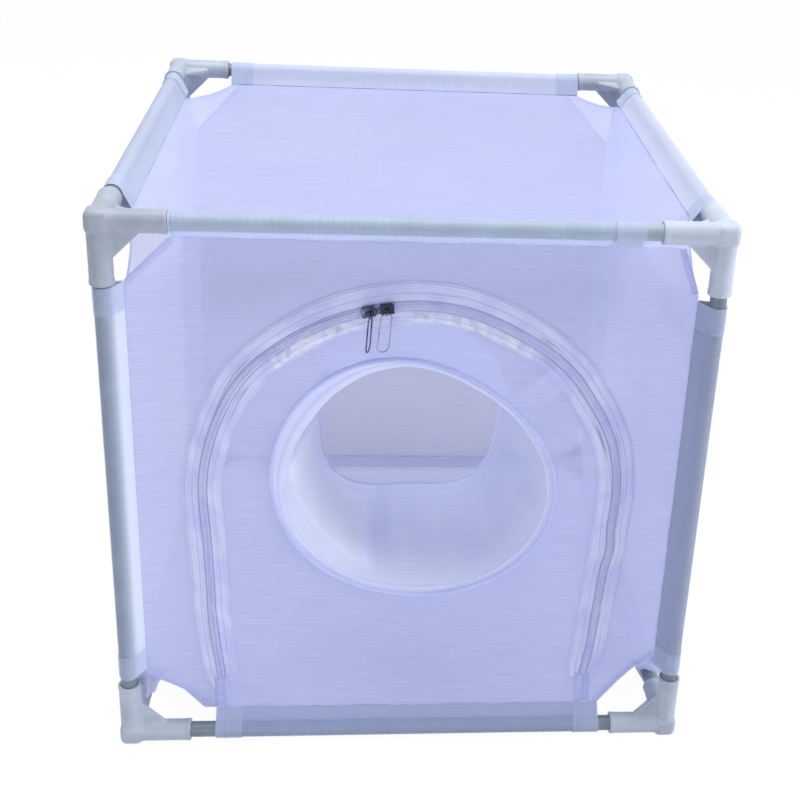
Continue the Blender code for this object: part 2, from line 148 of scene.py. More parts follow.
camera.matrix_world = Matrix.Translation(CAMERA_PLACE) @ turn
bpy.context.scene.camera = camera
print(f"lens {camera_data.lens:.1f} mm")

# %% [markdown]
# ## Shader maths
# A procedural material is arithmetic on sockets. This small class lets Python's own signs add the Math
# nodes, so a pattern reads as a formula. A few more methods name the steps that cloth needs.
# %% A number on its way through a shader
class Number:
    def __init__(self, finish, socket):
        self.finish = finish
        self.socket = socket

    def math(self, operation, *others):
        values = dict(enumerate((self, *others)))
        return self.finish.node("ShaderNodeMath", {"operation": operation}, values)

    def __add__(self, other):
        return self.math("ADD", other)

    def __mul__(self, other):
        return self.math("MULTIPLY", other)

    def __sub__(self, other):
        return self.math("SUBTRACT", other)

    def __truediv__(self, other):
        return self.math("DIVIDE", other)

    def __rsub__(self, other):
        return self * -1 + other

    __radd__ = __add__
    __rmul__ = __mul__

    def most(self, other):
        return self.math("MAXIMUM", other)

    def least(self, other):
        return self.math("MINIMUM", other)

    def away(self, place=None):
        """The distance from a place, or from 0."""
        return (self if place is None else self - place).math("ABSOLUTE")

    def zigzag(self, length):
        """Up from 0 to 0.5 and down again over each such length."""
        return (self / length).math("PINGPONG", 0.5)

    def ramp(self, low, high):
        """A smooth step from 0 to 1 as the value goes from low to high."""
        sockets = {"Value": self, "From Min": low, "From Max": high}
        return self.finish.node("ShaderNodeMapRange", {"interpolation_type": "SMOOTHSTEP"}, sockets)

    def line(self, place, width):
        """1 on a line at this place and 0 away from it."""
        return self.away(place).ramp(width, width * 0.3)

    def between(self, start, end, soft):
        """1 between start and end, fading over a soft edge."""
        return self.ramp(start, start + soft) * self.ramp(end, end - soft)


# %% [markdown]
# A finish is a material that is being mixed. One method adds any node: its kind, its settings and its
# sockets.
# %% A finish
class Finish:
    def __init__(self, name, **constants):
        self.material = bpy.data.materials.new(name)
        self.material.use_nodes = True
        self.tree = self.material.node_tree
        self.shader = self.tree.nodes["Principled BSDF"]
        self.surface(**constants)

    def feed(self, socket, value):
        if isinstance(value, Number):
            self.tree.links.new(value.socket, socket)
        elif isinstance(value, (tuple, list)) and len(value) == 3 and len(socket.default_value) == 4:
            socket.default_value = (*value, 1)
        else:
            socket.default_value = value

    def node(self, kind, settings=None, sockets=None, output=0):
        made = self.tree.nodes.new(kind)
        for name, value in (settings or {}).items():
            setattr(made, name, value)
        for name, value in (sockets or {}).items():
            self.feed(made.inputs[name], value)
        return Number(self, made.outputs[output])

    def surface(self, **values):
        for socket, value in values.items():
            self.feed(self.shader.inputs[socket.replace("_", " ").title().replace("Ior", "IOR")], value)

    def noise(self, size, vector, detail=2.0, stretch=(1, 1, 1)):
        """Noise with lumps of this size in metres, stretched along any axis."""
        if stretch != (1, 1, 1):
            shrunk = tuple(1 / s for s in stretch)
            vector = self.node("ShaderNodeMapping", {}, {"Vector": vector, "Scale": shrunk})
        return self.node("ShaderNodeTexNoise", {}, {"Vector": vector, "Scale": 1 / size, "Detail": detail})

    def blend(self, factor, first, second):
        """A colour between two others."""
        sockets = {"Factor": factor, 6: first, 7: second}
        return self.node("ShaderNodeMix", {"data_type": "RGBA"}, sockets, output=2)

    def bump(self, height, depth, strength):
        return self.node("ShaderNodeBump", {}, {"Height": height, "Distance": depth, "Strength": strength})

    def show(self, factor, first, second):
        """Ends the finish with a mix of two shaders."""
        mixed = self.node("ShaderNodeMixShader", {}, {0: factor, 1: first, 2: second})
        self.feed(self.tree.nodes["Material Output"].inputs["Surface"], mixed)

    def cloth(self, tint, relief, cover, through, depth=0.0001, strength=0.3):
        """Thin cloth: it is clear where it doesn't cover and lets part of the light behind it through."""
        self.surface(base_color=tint, normal=self.bump(relief, depth, strength))
        front = Number(self, self.shader.outputs[0])
        back = self.node("ShaderNodeBsdfTranslucent", {}, {"Color": tint})
        thread = self.node("ShaderNodeMixShader", {}, {0: through, 1: front, 2: back})
        self.show(cover, self.node("ShaderNodeBsdfTransparent"), thread)
        return self.material


# %% [markdown]
# ## Netting
# The netting is a knitted polyester mesh with holes of about a millimetre. Modelling a hundred thousand
# holes would bury the computer, so the threads are a pattern: the cloth is clear between them. The pattern
# follows the cloth through a UV map that holds metres along the threads, which stays right where it bends.
# %% Thread pattern
PITCH = 0.0009  # from thread to thread
THREAD_WIDTH = 0.36  # as a share of the pitch
SOFT = 0.3  # how far a thread's edge fades, as a share of the pitch
FINE_LINE = 0.0016


def threads(finish):
    """Metres along and across the cloth, and the two together."""
    cloth = finish.node("ShaderNodeUVMap", {"uv_map": "threads"})
    split = finish.node("ShaderNodeSeparateXYZ", {}, {"Vector": cloth})
    return split, Number(finish, split.socket.node.outputs["Y"]), cloth


def strand(coordinate, pitch, width=THREAD_WIDTH):
    """1 on a thread and 0 in the hole beside it."""
    return (coordinate.zigzag(pitch) * 2).ramp(width + SOFT, width - SOFT)


def uneven(finish, cloth, patch, shade, colour):
    """Fine lines along the cloth, and its colour, which shifts with them and with patches of this size."""
    lines = finish.noise(FINE_LINE, cloth, detail=1.0, stretch=(22, 0.8, 1))
    tone = (finish.noise(patch, cloth) * 0.5 + lines * 0.5).ramp(0.35, 0.65)
    return lines, finish.blend(tone, shade, colour)


# %% [markdown]
# The same mesh looks different on each side of the cage: it is stretched, slack or doubled, and lit from one
# side or the other. So each stretch has its own tone, matched to the photograph, on the same threads: lighter
# copies are painted light and darker copies painted shade.
# %% Netting of every kind
WANDER = 0.02  # how far apart the threads' small bends are
BROAD_PATCH = 0.09
FAR_SIDE = 0.0262  # metres round a pole sleeve from its seam to the far side of the tube
SEAM_SHADOW = (0.44, 0.48, 0.68)


def netting(
    name, colour, shade, hole, thread=1.0, through=0.35, streak=0.12, width=THREAD_WIDTH, dimmed=None,
    seam=None,
):
    """Mesh cloth: two colours, how full a hole and a thread are, the light let through, and its streaks.

    A panel may have painted shade under its upper seam: dimmed is where that starts, where it is full, and
    half its width. A pole sleeve may be denser towards its seam and have a colour there, which is painted
    shade on the front right and front bottom sleeves and painted light on the front left one: seam is that
    colour, and how much more it covers.
    """
    finish = Finish(name, roughness=0.7, sheen_weight=0.2, sheen_roughness=0.5)
    along, across, cloth = threads(finish)
    bent = finish.noise(WANDER, cloth, detail=1.0) * (PITCH * 1.5)
    warp = strand(along + bent, PITCH, width)
    weft = strand(across + bent, PITCH * 0.85, width)
    lines, tint = uneven(finish, cloth, BROAD_PATCH, shade, colour)
    cover = warp.most(weft) * (thread - hole) + hole + (lines - 0.5) * streak
    # Painted shade under the upper seam.
    if dimmed:
        start, full, half = dimmed
        under = across.ramp(start, full) * along.away(HALF).ramp(half + 0.015, half)
        tint = finish.blend(under * 0.5, tint, SEAM_SHADOW)
    # The colour towards a sleeve's seam: painted shade on the front right and front bottom sleeves, painted
    # light on the front left one.
    if seam:
        colour_there, denser = seam
        near_seam = along.away(FAR_SIDE).ramp(0.002, 0.015)
        tint = finish.blend(near_seam, tint, colour_there)
        cover = cover + near_seam * denser
    return finish.cloth(tint, warp + weft, cover.least(1.0), through)


NET_WHITE, NET_SHADE = (0.63, 0.66, 0.91), (0.58, 0.62, 0.88)
net = netting("white_netting", NET_WHITE, NET_SHADE, hole=0.64, thread=0.84)
# The front netting gets painted shade under its upper seam.
front_net = netting("front_netting", NET_WHITE, NET_SHADE, 0.64, 0.84, dimmed=(0.30, 0.355, 0.125))
# A darker copy for the back: painted shade.
back_net = netting("back_netting", (0.49, 0.51, 0.70), (0.45, 0.48, 0.68), 0.64, 0.84, through=0.3)
# A lighter copy for the left side: painted light.
left_net = netting("left_netting", (0.84, 0.86, 1.0), (0.79, 0.82, 0.99), 0.68, 0.88)
# A lighter copy for the floor: painted light.
floor_net = netting("floor_netting", (0.78, 0.81, 1.0), (0.72, 0.76, 0.97), 0.60, 0.80, through=0.1)
# A lighter copy of the sleeve netting below, for the upper sleeves: painted light.
upper_net = netting("pole_sleeve_upper", (0.74, 0.79, 0.96), (0.69, 0.74, 0.92), 0.72, 0.88, 0.12, 0.06)
sleeve_net = netting("pole_sleeve_netting", (0.62, 0.69, 0.86), (0.57, 0.64, 0.81), 0.70, 0.86, 0.12, 0.06)
tube_net = netting("pole_sleeve_drawn_tight", (0.66, 0.73, 0.93), (0.60, 0.67, 0.88), 0.34, 0.48, 0.1, 0.04)
# Darker, and darker still towards its seam: painted shade.
shaded_net = netting(
    "pole_sleeve_shaded", (0.50, 0.57, 0.76), (0.44, 0.51, 0.70), 0.44, 0.58, 0.04, 0.04,
    seam=((0.35, 0.40, 0.59), 0.34),
)
# A darker copy for the front bottom sleeve, darker still towards its seam: painted shade.
lower_net = netting(
    "pole_sleeve_lower", (0.56, 0.65, 0.88), (0.50, 0.59, 0.82), 0.30, 0.44, 0.05, 0.04,
    seam=((0.42, 0.48, 0.76), 0.2),
)
# A darker copy for the front left sleeve: painted shade, with painted light towards its seam, where it is
# also denser.
left_sleeve_net = netting(
    "pole_sleeve_left", (0.54, 0.63, 0.84), (0.48, 0.57, 0.78), 0.24, 0.38, 0.05, 0.04,
    seam=((0.84, 0.90, 1.0), 0.5),
)
arm_net = netting("arm_sleeve_netting", (0.83, 0.87, 1.0), (0.77, 0.81, 0.98), 0.72, 0.85, 0.15, 0.06)
hem_cloth = netting("folded_hem", (0.74, 0.78, 1.0), (0.66, 0.70, 0.95), 0.85, width=0.6)

# %% [markdown]
# ## Plastics and metal
# The connectors are off-white moulded plastic: nearly smooth, a little cloudy, and duller where fingers have
# been. Two connectors and one tube have shades of their own, matched to the photograph: painted shade on the
# front top left connector, and painted light on the front top right connector and the front top tube.
# %% Moulded plastic
CLOUD = 0.018
GRAIN = 0.0006


def moulded(name, light, dark, roughness, **constants):
    finish = Finish(name, specular_ior_level=0.4, **constants)
    place = finish.node("ShaderNodeTexCoord", output="Object")
    cloud = finish.noise(CLOUD, place, detail=3.0)
    grain = finish.bump(finish.noise(GRAIN, place, detail=1.0), 0.00004, 0.6)
    colour = finish.blend(cloud.ramp(0.35, 0.7), dark, light)
    finish.surface(base_color=colour, roughness=cloud * 0.15 + roughness, normal=grain)
    return finish.material


connector_plastic = moulded("off_white_connector", (0.46, 0.51, 0.58), (0.39, 0.44, 0.51), 0.36)
# A darker copy for the front top left connector: painted shade.
connector_painted_shade = moulded("off_white_connector_painted_shade", (0.41, 0.45, 0.51), (0.34, 0.38, 0.44), 0.4)
# A lighter copy for the front top right connector: painted light.
connector_painted_light = moulded("off_white_connector_painted_light", (0.57, 0.63, 0.71), (0.50, 0.56, 0.64), 0.34)
tube_plastic = moulded("grey_green_tube", (0.22, 0.28, 0.31), (0.16, 0.21, 0.24), 0.3)
# A lighter copy for the front top tube: painted light.
tube_painted_light = moulded("grey_green_tube_painted_light", (0.41, 0.51, 0.55), (0.33, 0.42, 0.46), 0.3)
coil_nylon = moulded("zip_coil_nylon", (0.80, 0.83, 1.0), (0.70, 0.73, 1.0), 0.6)
seam_thread = moulded("seam_thread", (0.62, 0.66, 0.90), (0.38, 0.42, 0.64), 0.7)
pull_metal = moulded("dark_nickel", (0.10, 0.11, 0.17), (0.03, 0.035, 0.065), 0.22, metallic=0.9)
loop_metal = moulded("bright_nickel_wire", (0.34, 0.37, 0.48), (0.20, 0.23, 0.33), 0.25, metallic=0.9)

# %% [markdown]
# ## Making a piece
# Every new piece is a bmesh that becomes an object, rides on its body and stands for what it replaces.
# %% Piece
def mesh_of(name, bm):
    mesh = bpy.data.meshes.new(name)
    bm.to_mesh(mesh)
    bm.free()
    return mesh


def join(bm, other):
    """Adds one bmesh to another."""
    mesh = mesh_of("joined", other)
    bm.from_mesh(mesh)
    bpy.data.meshes.remove(mesh)


def make_piece(name, bm, material, body, replaces=()):
    mesh = mesh_of(name, bm)
    mesh.shade_smooth()
    mesh.materials.append(material)
    piece = added(name, mesh)
    if body:
        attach(piece, body)
    if replaces:
        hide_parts(*replaces)
    print(f"{name}: {len(mesh.polygons)} faces")
    return piece


# %% [markdown]
# Cloth starts as Blender's grid. Each crossing moves to its place, and the UV map keeps its metres along the
# cloth. Stretched cloth is never quite flat, so its places add a soft wave.
# %% Cloth grid
MERGE = 1e-6


def cloth_grid(columns, rows, place, closed=False):
    """A grid whose crossings go where place(u, v) says; it gives a point and the cloth's own metres there."""
    bm = bmesh.new()
    bmesh.ops.create_grid(bm, x_segments=columns, y_segments=rows, size=0.5)
    layer = bm.loops.layers.uv.new("threads")
    spots = {vert: place(vert.co.x + 0.5, vert.co.y + 0.5) for vert in bm.verts}
    for face in bm.faces:
        for loop in face.loops:
            loop[layer].uv = spots[loop.vert][1]
    for vert, (spot, _) in spots.items():
        vert.co = spot
    if closed:
        bmesh.ops.remove_doubles(bm, verts=bm.verts, dist=MERGE)
    return bm


def ripple(point, size, depth, seed=0.0):
    """A soft uneven wave, the same on every run."""
    return depth * noise.noise(point / size + Vector((seed, seed * 1.7, seed * 0.3)))


def slack(a, b, seed, long_wave, short_wave):
    """A long wave and a short one over the cloth; each has a size and a depth."""
    return ripple(Vector((a, b, 0)), *long_wave, seed) + ripple(Vector((a, b * 2, 0)), *short_wave, seed)


# %% [markdown]
# ## Corner connectors
# A real connector is one moulding: a rounded hub, three sockets at right angles and three flat webs between
# them. Each of its pieces is a cylinder, a bevelled cube or an extruded triangle.
# %% Connector solids
SOCKET_RADIUS = 0.0078
LIP_WIDTH = 0.0028
LIP_PROUD = 0.0003  # how far the lip stands out from its socket, all round and at its mouth
WEB_REACH = 0.0315
WEB_THICKNESS = 0.0032
AXES = (X, Y, Z)
print(f"socket reach {SOCKET_REACH * 1000:.1f} mm")


def rod(name, radius, start, end, axis, segments=40):
    bm = bmesh.new()
    turned = Z.rotation_difference(axis).to_matrix().to_4x4()
    lift = Matrix.Translation((0, 0, (start + end) / 2))
    bmesh.ops.create_cone(
        bm, cap_ends=True, segments=segments, radius1=radius, radius2=radius, depth=end - start,
        matrix=turned @ lift,
    )
    return added(name, mesh_of(name, bm))


def web_plate(name, first, second):
    bm = bmesh.new()
    normal = first.cross(second)
    spots = (Vector(), first * WEB_REACH, second * WEB_REACH)
    corners = [bm.verts.new(spot - normal * WEB_THICKNESS / 2) for spot in spots]
    made = bmesh.ops.extrude_face_region(bm, geom=[bm.faces.new(corners)])
    raised = [v for v in made["geom"] if isinstance(v, bmesh.types.BMVert)]
    bmesh.ops.translate(bm, vec=normal * WEB_THICKNESS, verts=raised)
    bmesh.ops.recalc_face_normals(bm, faces=bm.faces)
    return added(name, mesh_of(name, bm))


def apply_modifiers(made):
    bpy.context.view_layer.update()
    ready = made.evaluated_get(bpy.context.evaluated_depsgraph_get())
    mesh = bpy.data.meshes.new_from_object(ready)
    bpy.data.objects.remove(made)
    return mesh


def joined(base, tools, operation="UNION"):
    for tool in tools:
        modifier = base.modifiers.new(tool.name, "BOOLEAN")
        modifier.operation = operation
        modifier.solver = "EXACT"
        modifier.object = tool
    mesh = apply_modifiers(base)
    for tool in tools:
        bpy.data.objects.remove(tool)
    return mesh


# %% [markdown]
# The pieces are joined with Boolean modifiers, a fine remesh closes them into one skin, and smoothing draws
# the inner corners into the small fillets that a mould leaves. The bores are cut last, so that their rims
# stay crisp.
# %% Connector mesh
HUB_ROUNDING = 0.0045
SKIN_STEP = 0.0006
BORE_FLOOR = 0.011
BORE_EASE = 0.0003
BORE_PAST = 0.01  # how far the cutter stands out of the socket's mouth


def connector_bmesh():
    bm = bmesh.new()
    bmesh.ops.create_cube(bm, size=2 * HUB_HALF)
    bmesh.ops.bevel(
        bm, geom=bm.edges, offset=HUB_ROUNDING, segments=4, profile=0.5, affect="EDGES", material=-1
    )
    hub = added("hub", mesh_of("hub", bm))
    parts = []
    for i, axis in enumerate(AXES):
        parts.append(rod(f"socket_{i}", SOCKET_RADIUS - LIP_PROUD, 0, SOCKET_REACH - LIP_PROUD, axis))
        parts.append(rod(f"lip_{i}", SOCKET_RADIUS, SOCKET_REACH - LIP_WIDTH, SOCKET_REACH, axis))
        parts.append(web_plate(f"web_{i}", axis, AXES[(i + 1) % 3]))
    skin = added("skin", joined(hub, parts))
    remesh = skin.modifiers.new("remesh", "REMESH")
    remesh.mode = "VOXEL"
    remesh.voxel_size = SKIN_STEP
    smoothing = skin.modifiers.new("smooth", "SMOOTH")
    smoothing.factor = 0.5
    smoothing.iterations = 4
    skin = added("connector", apply_modifiers(skin))
    radius, end = TUBE_RADIUS + BORE_EASE, SOCKET_REACH + BORE_PAST
    bores = [rod(f"bore_{i}", radius, BORE_FLOOR, end, axis, segments=32) for i, axis in enumerate(AXES)]
    bm = bmesh.new()
    bm.from_mesh(joined(skin, bores, "DIFFERENCE"))
    return bm


moulding = connector_bmesh()
print("connector:", len(moulding.faces), "faces")

# %% [markdown]
# All eight connectors come from one mould. Mirroring it turns it inside out at every second corner, so the
# faces are turned back there.
# %% Eight connectors
SIDES = {"x": {-1: "left", 1: "right"}, "y": {-1: "front", 1: "back"}, "z": {-1: "bottom", 1: "top"}}
# The front top left connector carries painted shade, and the front top right one painted light.
PAINTED_LIGHT_AND_SHADE = {"connector_front_top_left": connector_painted_shade, "connector_front_top_right": connector_painted_light}
for z, y, x in product((-1, 1), repeat=3):
    name = f"connector_{SIDES['y'][y]}_{SIDES['z'][z]}_{SIDES['x'][x]}"
    bm = moulding.copy()
    flip = Matrix.Diagonal((-x, -y, -z, 1))
    place = Matrix.Translation(CENTRE + Vector((x, y, z)) * HALF)
    bmesh.ops.transform(bm, matrix=place @ flip, verts=bm.verts)
    if x * y * z > 0:
        bmesh.ops.reverse_faces(bm, faces=bm.faces)
    finish = PAINTED_LIGHT_AND_SHADE.get(name, connector_plastic)
    make_piece(f"{name}_moulding", bm, finish, "cage", [name])
moulding.free()

# %% [markdown]
# ## Tubes
# The tubes are plain extrusions, pushed deep into the sockets. A profile of the wall with softened ends is
# spun round the tube's axis.
# %% Tubes
TUBE_WALL = 0.001
TUBE_EASE = 0.0003
CREASE_ANGLE = math.radians(40)


def frame_edges():
    """The twelve edges: name, middle, direction along the tube and direction towards the cage's middle."""
    pairs = {"x": ("y", "z"), "y": ("x", "z"), "z": ("y", "x")}
    directions = {"x": X, "y": Y, "z": Z}
    for along, (first, second) in pairs.items():
        for a, b in product((-1, 1), repeat=2):
            out = directions[first] * a + directions[second] * b
            name = f"{SIDES[first][a]}_{SIDES[second][b]}"
            yield name, CENTRE + out * HALF, directions[along], -out.normalized()


def tube_bmesh(along, place):
    bm = bmesh.new()
    half, outer, inner = TUBE_LENGTH / 2, TUBE_RADIUS, TUBE_RADIUS - TUBE_WALL
    eased = outer - TUBE_EASE
    section = [(outer, half - TUBE_EASE), (outer, TUBE_EASE - half), (eased, -half)]
    section += [(inner, -half), (inner, half), (eased, half)]
    corners = [bm.verts.new((radius, 0, height)) for radius, height in section]
    for i, vert in enumerate(corners):
        bm.edges.new((vert, corners[(i + 1) % len(corners)]))
    geometry = list(bm.verts) + list(bm.edges)
    bmesh.ops.spin(
        bm, geom=geometry, cent=(0, 0, 0), axis=(0, 0, 1), angle=2 * math.pi, steps=32, use_merge=True
    )
    bmesh.ops.recalc_face_normals(bm, faces=bm.faces)
    turned = Z.rotation_difference(along).to_matrix().to_4x4()
    bmesh.ops.transform(bm, matrix=Matrix.Translation(place) @ turned, verts=bm.verts)
    return bm


for name, place, along, _ in frame_edges():
    # The front top tube is a lighter copy: painted light.
    finish = tube_painted_light if name == "front_top" else tube_plastic
    piece = make_piece(f"{name}_tube", tube_bmesh(along, place), finish, "cage", [f"tube_{name}"])
    piece.data.set_sharp_from_angle(angle=CREASE_ANGLE)

# %% [markdown]
# ## Seams
# The netting box hangs a little inside the frame. Its twelve seams are the lines where two panels and a
# flange of the tube's sleeve are sewn together. The cloth is drawn tight in front and lies slacker behind,
# so each seam has its own distance from its tube.
# %% Seam lines
SLACK = HALF - PANEL_HALF
SEAM_INSETS = {
    "front_top": (0.0080, 0.0127),
    "front_bottom": (0.0080, 0.0127),
    "front_left": (0.0080, 0.0110),
    "front_right": (0.0080, 0.0110),
    "back_top": (0.0100, 0.0100),
    "left_top": (0.0110, 0.0100),
    "right_top": (0.0120, 0.0070),
}
EDGES = {
    tuple(round(c) for c in (place - CENTRE) / HALF): (name, along) for name, place, along, _ in frame_edges()
}


def seam_line(out):
    """Where the seam beside an edge lies, from the cage's middle; out points from the middle to the edge."""
    side = tuple(round(c / max(abs(c) for c in out)) for c in out)
    name, along = EDGES[side]
    insets = list(SEAM_INSETS.get(name, (SLACK, SLACK)))
    seam = Vector((0, 0, 0))
    for axis in (1, 0, 2) if along is Z else (0, 1, 2):
        if side[axis]:
            seam[axis] = side[axis] * (HALF - insets.pop(0))
    return seam


# %% [markdown]
# ## Pole sleeves
# Each tube runs through a sewn channel of netting. The channel is one strip, wrapped round the tube with its
# two long edges sewn together into a flange, and the flange carries the netting box. In the photograph the
# sleeves have slid along their tubes, so that some ends touch a connector and others leave the tube bare.
# %% Sleeve strip
SLEEVE_EASE = 0.0004  # from the tube to the cloth round it
FLANGE_HALF = 0.0006
MOUTH = HALF - SOCKET_REACH
MOUTH_GAP = 0.0006
SLEEVE_ENDS = {
    "front_top": (MOUTH_GAP - MOUTH, 0.1400),
    "front_bottom": (-0.1335, 0.1420),
    "front_left": (-0.1437, 0.1495),
    "front_right": (-0.1449, 0.1430),
    "left_top": (-0.1425, MOUTH - MOUTH_GAP),
    "right_top": (MOUTH_GAP - MOUTH, MOUTH - MOUTH_GAP),
    "back_top": (-0.1480, MOUTH - MOUTH_GAP),
}
TIGHT = {"front_top": 0.75}  # how closely the cloth is sewn round the tube; the others hang straight
PUCKER_SIZE = 0.012
PUCKER_DEPTH = (0.0004, 0.0005)  # everywhere, and added at the open ends
END_REACH = 0.02


def around_tube(share, seam, tight, grow=0.0):
    """A point of the strip's section, from the seam round the tube and back to the seam."""
    radius = TUBE_RADIUS + SLEEVE_EASE + grow
    gap = FLANGE_HALF + grow
    leaving = math.acos(radius / seam)
    start = leaving + (math.asin(gap / radius) - leaving) * tight
    turn = Vector((radius * math.cos(start), radius * math.sin(start)))
    edge = Vector((seam, gap))
    flange = (edge - turn).length
    loop = radius * (2 * math.pi - 2 * start)
    total = 2 * flange + loop
    along = share * total
    if along < flange:
        x, y = edge.lerp(turn, along / flange)
        return x, y, along
    if along > flange + loop:
        x, y = edge.lerp(turn, (total - along) / flange)
        return x, -y, along
    turned = start + (along - flange) / radius
    return radius * math.cos(turned), radius * math.sin(turned), along


def strip_place(place, along, to_seam, low, high, seed, tight, grow=0.0):
    """Where the strip's crossings lie, with small puckers that grow towards its open ends."""
    inward = to_seam.normalized()
    aside = along.cross(inward)

    def put(u, v):
        reach = low + (high - low) * v
        x, y, metres = around_tube(u, to_seam.length, tight, grow)
        near_end = math.exp(-min(v, 1 - v) * (high - low) / END_REACH)
        depth = PUCKER_DEPTH[0] + PUCKER_DEPTH[1] * near_end
        loose = ripple(Vector((x, y, reach)), PUCKER_SIZE, depth, seed)
        point = place + along * reach + inward * (x - abs(loose) * 0.2) + aside * (y + loose * 0.5)
        return point, (metres, reach + HALF)

    return put


# %% [markdown]
# Each end of a sleeve is turned over into a hem. The hem is a second strip just outside the first, since two
# layers of thin netting look denser than one.
# %% Twelve pole sleeves
SLEEVE_FINISHES = {
    "front_right": shaded_net, "front_bottom": lower_net, "front_left": left_sleeve_net,
    "right_top": upper_net, "back_top": upper_net,
    "left_top": sleeve_net, "back_left": sleeve_net, "back_right": sleeve_net,
}  # the others are drawn tight, and their tubes show through
HEM_BAND = 0.0185
NARROW_BAND = 0.0012
BAND_PAST = 0.0002
BAND_GROW = 0.0005
for index, (name, place, along, _) in enumerate(frame_edges()):
    low, high = SLEEVE_ENDS.get(name, (-SLEEVE_HALF, SLEEVE_HALF))
    to_seam = seam_line(place - CENTRE) - (place - CENTRE)
    tight, seed = TIGHT.get(name, 0.0), index * 3.1
    put = strip_place(place, along, to_seam, low, high, seed, tight)
    finish = SLEEVE_FINISHES.get(name, tube_net)
    strip = make_piece(
        f"{name}_channel", cloth_grid(36, 64, put), finish, "cage", [f"pole_sleeve_{name}"]
    )
    hems = bmesh.new()
    first_band = NARROW_BAND if name == "front_top" else HEM_BAND
    for start, end in ((low - BAND_PAST, low + first_band), (high - HEM_BAND, high + BAND_PAST)):
        put = strip_place(place, along, to_seam, start, end, seed, tight, BAND_GROW)
        join(hems, cloth_grid(36, 6, put))
    band_finish = sleeve_net if name.endswith("top") else tube_net
    bands = make_piece(f"{name}_channel_hems", hems, band_finish, "cage")
    high - low

# %% [markdown]
# ## Netting panels
# Six squares of netting make the box. Each has its corners cut off, where the connectors are, and each cut
# runs between the ends of the two pole sleeves beside it. A panel is a grid that waves and sags a little,
# and planes cut its corners.
# %% A panel's sides and cuts
LIFT_REACH = 0.030  # how far from a seam the netting comes back to its plane
PANEL_WAVES = (0.07, 0.0018), (0.018, 0.00036)


class Panel:
    """One side of the netting box: its directions, and how far its seams lie in its plane and out of it."""

    def __init__(self, centre, across, up, out):
        self.centre, self.across, self.up, self.out = centre, across, up, out
        self.reach, self.lift = {}, {}
        for key, direction in (((1, 0), across), ((-1, 0), -across), ((0, 1), up), ((0, -1), -up)):
            seam = seam_line(direction + out)
            self.reach[key] = seam.dot(direction)
            self.lift[key] = seam.dot(out) - (centre - CENTRE).dot(out)
        self.flat = (self.reach[1, 0] + self.reach[-1, 0], self.reach[0, 1] + self.reach[0, -1])

    def point(self, a, b, rise):
        """The point at this place of the panel, and the cloth's own metres there."""
        return self.centre + self.across * a + self.up * b + self.out * rise, (a + HALF, b + HALF)

    def lifted(self, a, b):
        """How far out of its plane the netting is drawn by the seams near this point."""
        total, weights = 0.0, 0.0
        for key, reach in self.reach.items():
            near = max(0.0, 1 - (reach - key[0] * a - key[1] * b) / LIFT_REACH)
            weight = min(1.0, near) ** 1.5
            total += weight * self.lift[key]
            weights += weight
        return total / max(1.0, weights)

    def held(self, a, b):
        """0 on the seams and 1 in the middle."""
        inside = 1.0
        for key, reach in self.reach.items():
            inside *= max(0.0, 1 - max(0.0, (key[0] * a + key[1] * b) / reach) ** 2)
        return inside

    def stretched(self, sag, seed):
        """Where the crossings of the sewn-in netting lie, with its waves and its sag."""

        def put(u, v):
            a = u * self.flat[0] - self.reach[-1, 0]
            b = v * self.flat[1] - self.reach[0, -1]
            inside = self.held(a, b)
            waves = slack(a, b, seed, *PANEL_WAVES) * min(1.0, 4 * inside)
            return self.point(a, b, waves - sag * inside + self.lifted(a, b))

        return put

    def cut_line(self, corner, cut):
        """A corner's cut: its ends on the upright and the level side, and its outward direction."""
        a, b = corner
        upright = Vector((a * self.reach[a, 0], b * cut[0]))
        flat_end = Vector((a * cut[1], b * self.reach[0, b]))
        edge = flat_end - upright
        outward = Vector((edge.y, -edge.x)).normalized()
        return upright, flat_end, outward if outward.dot(Vector(corner)) > 0 else -outward

    def outline(self, cuts):
        """The panel's eight corners, anticlockwise from the lower right."""
        outline = []
        for corner in ((1, -1), (1, 1), (-1, 1), (-1, -1)):
            upright, flat_end, _ = self.cut_line(corner, cuts[corner])
            outline += [flat_end, upright] if corner[0] * corner[1] < 0 else [upright, flat_end]
        return outline


def flat_area(outline):
    pairs = zip(outline, outline[1:] + outline[:1])
    return abs(sum(p.x * q.y - q.x * p.y for p, q in pairs)) / 2


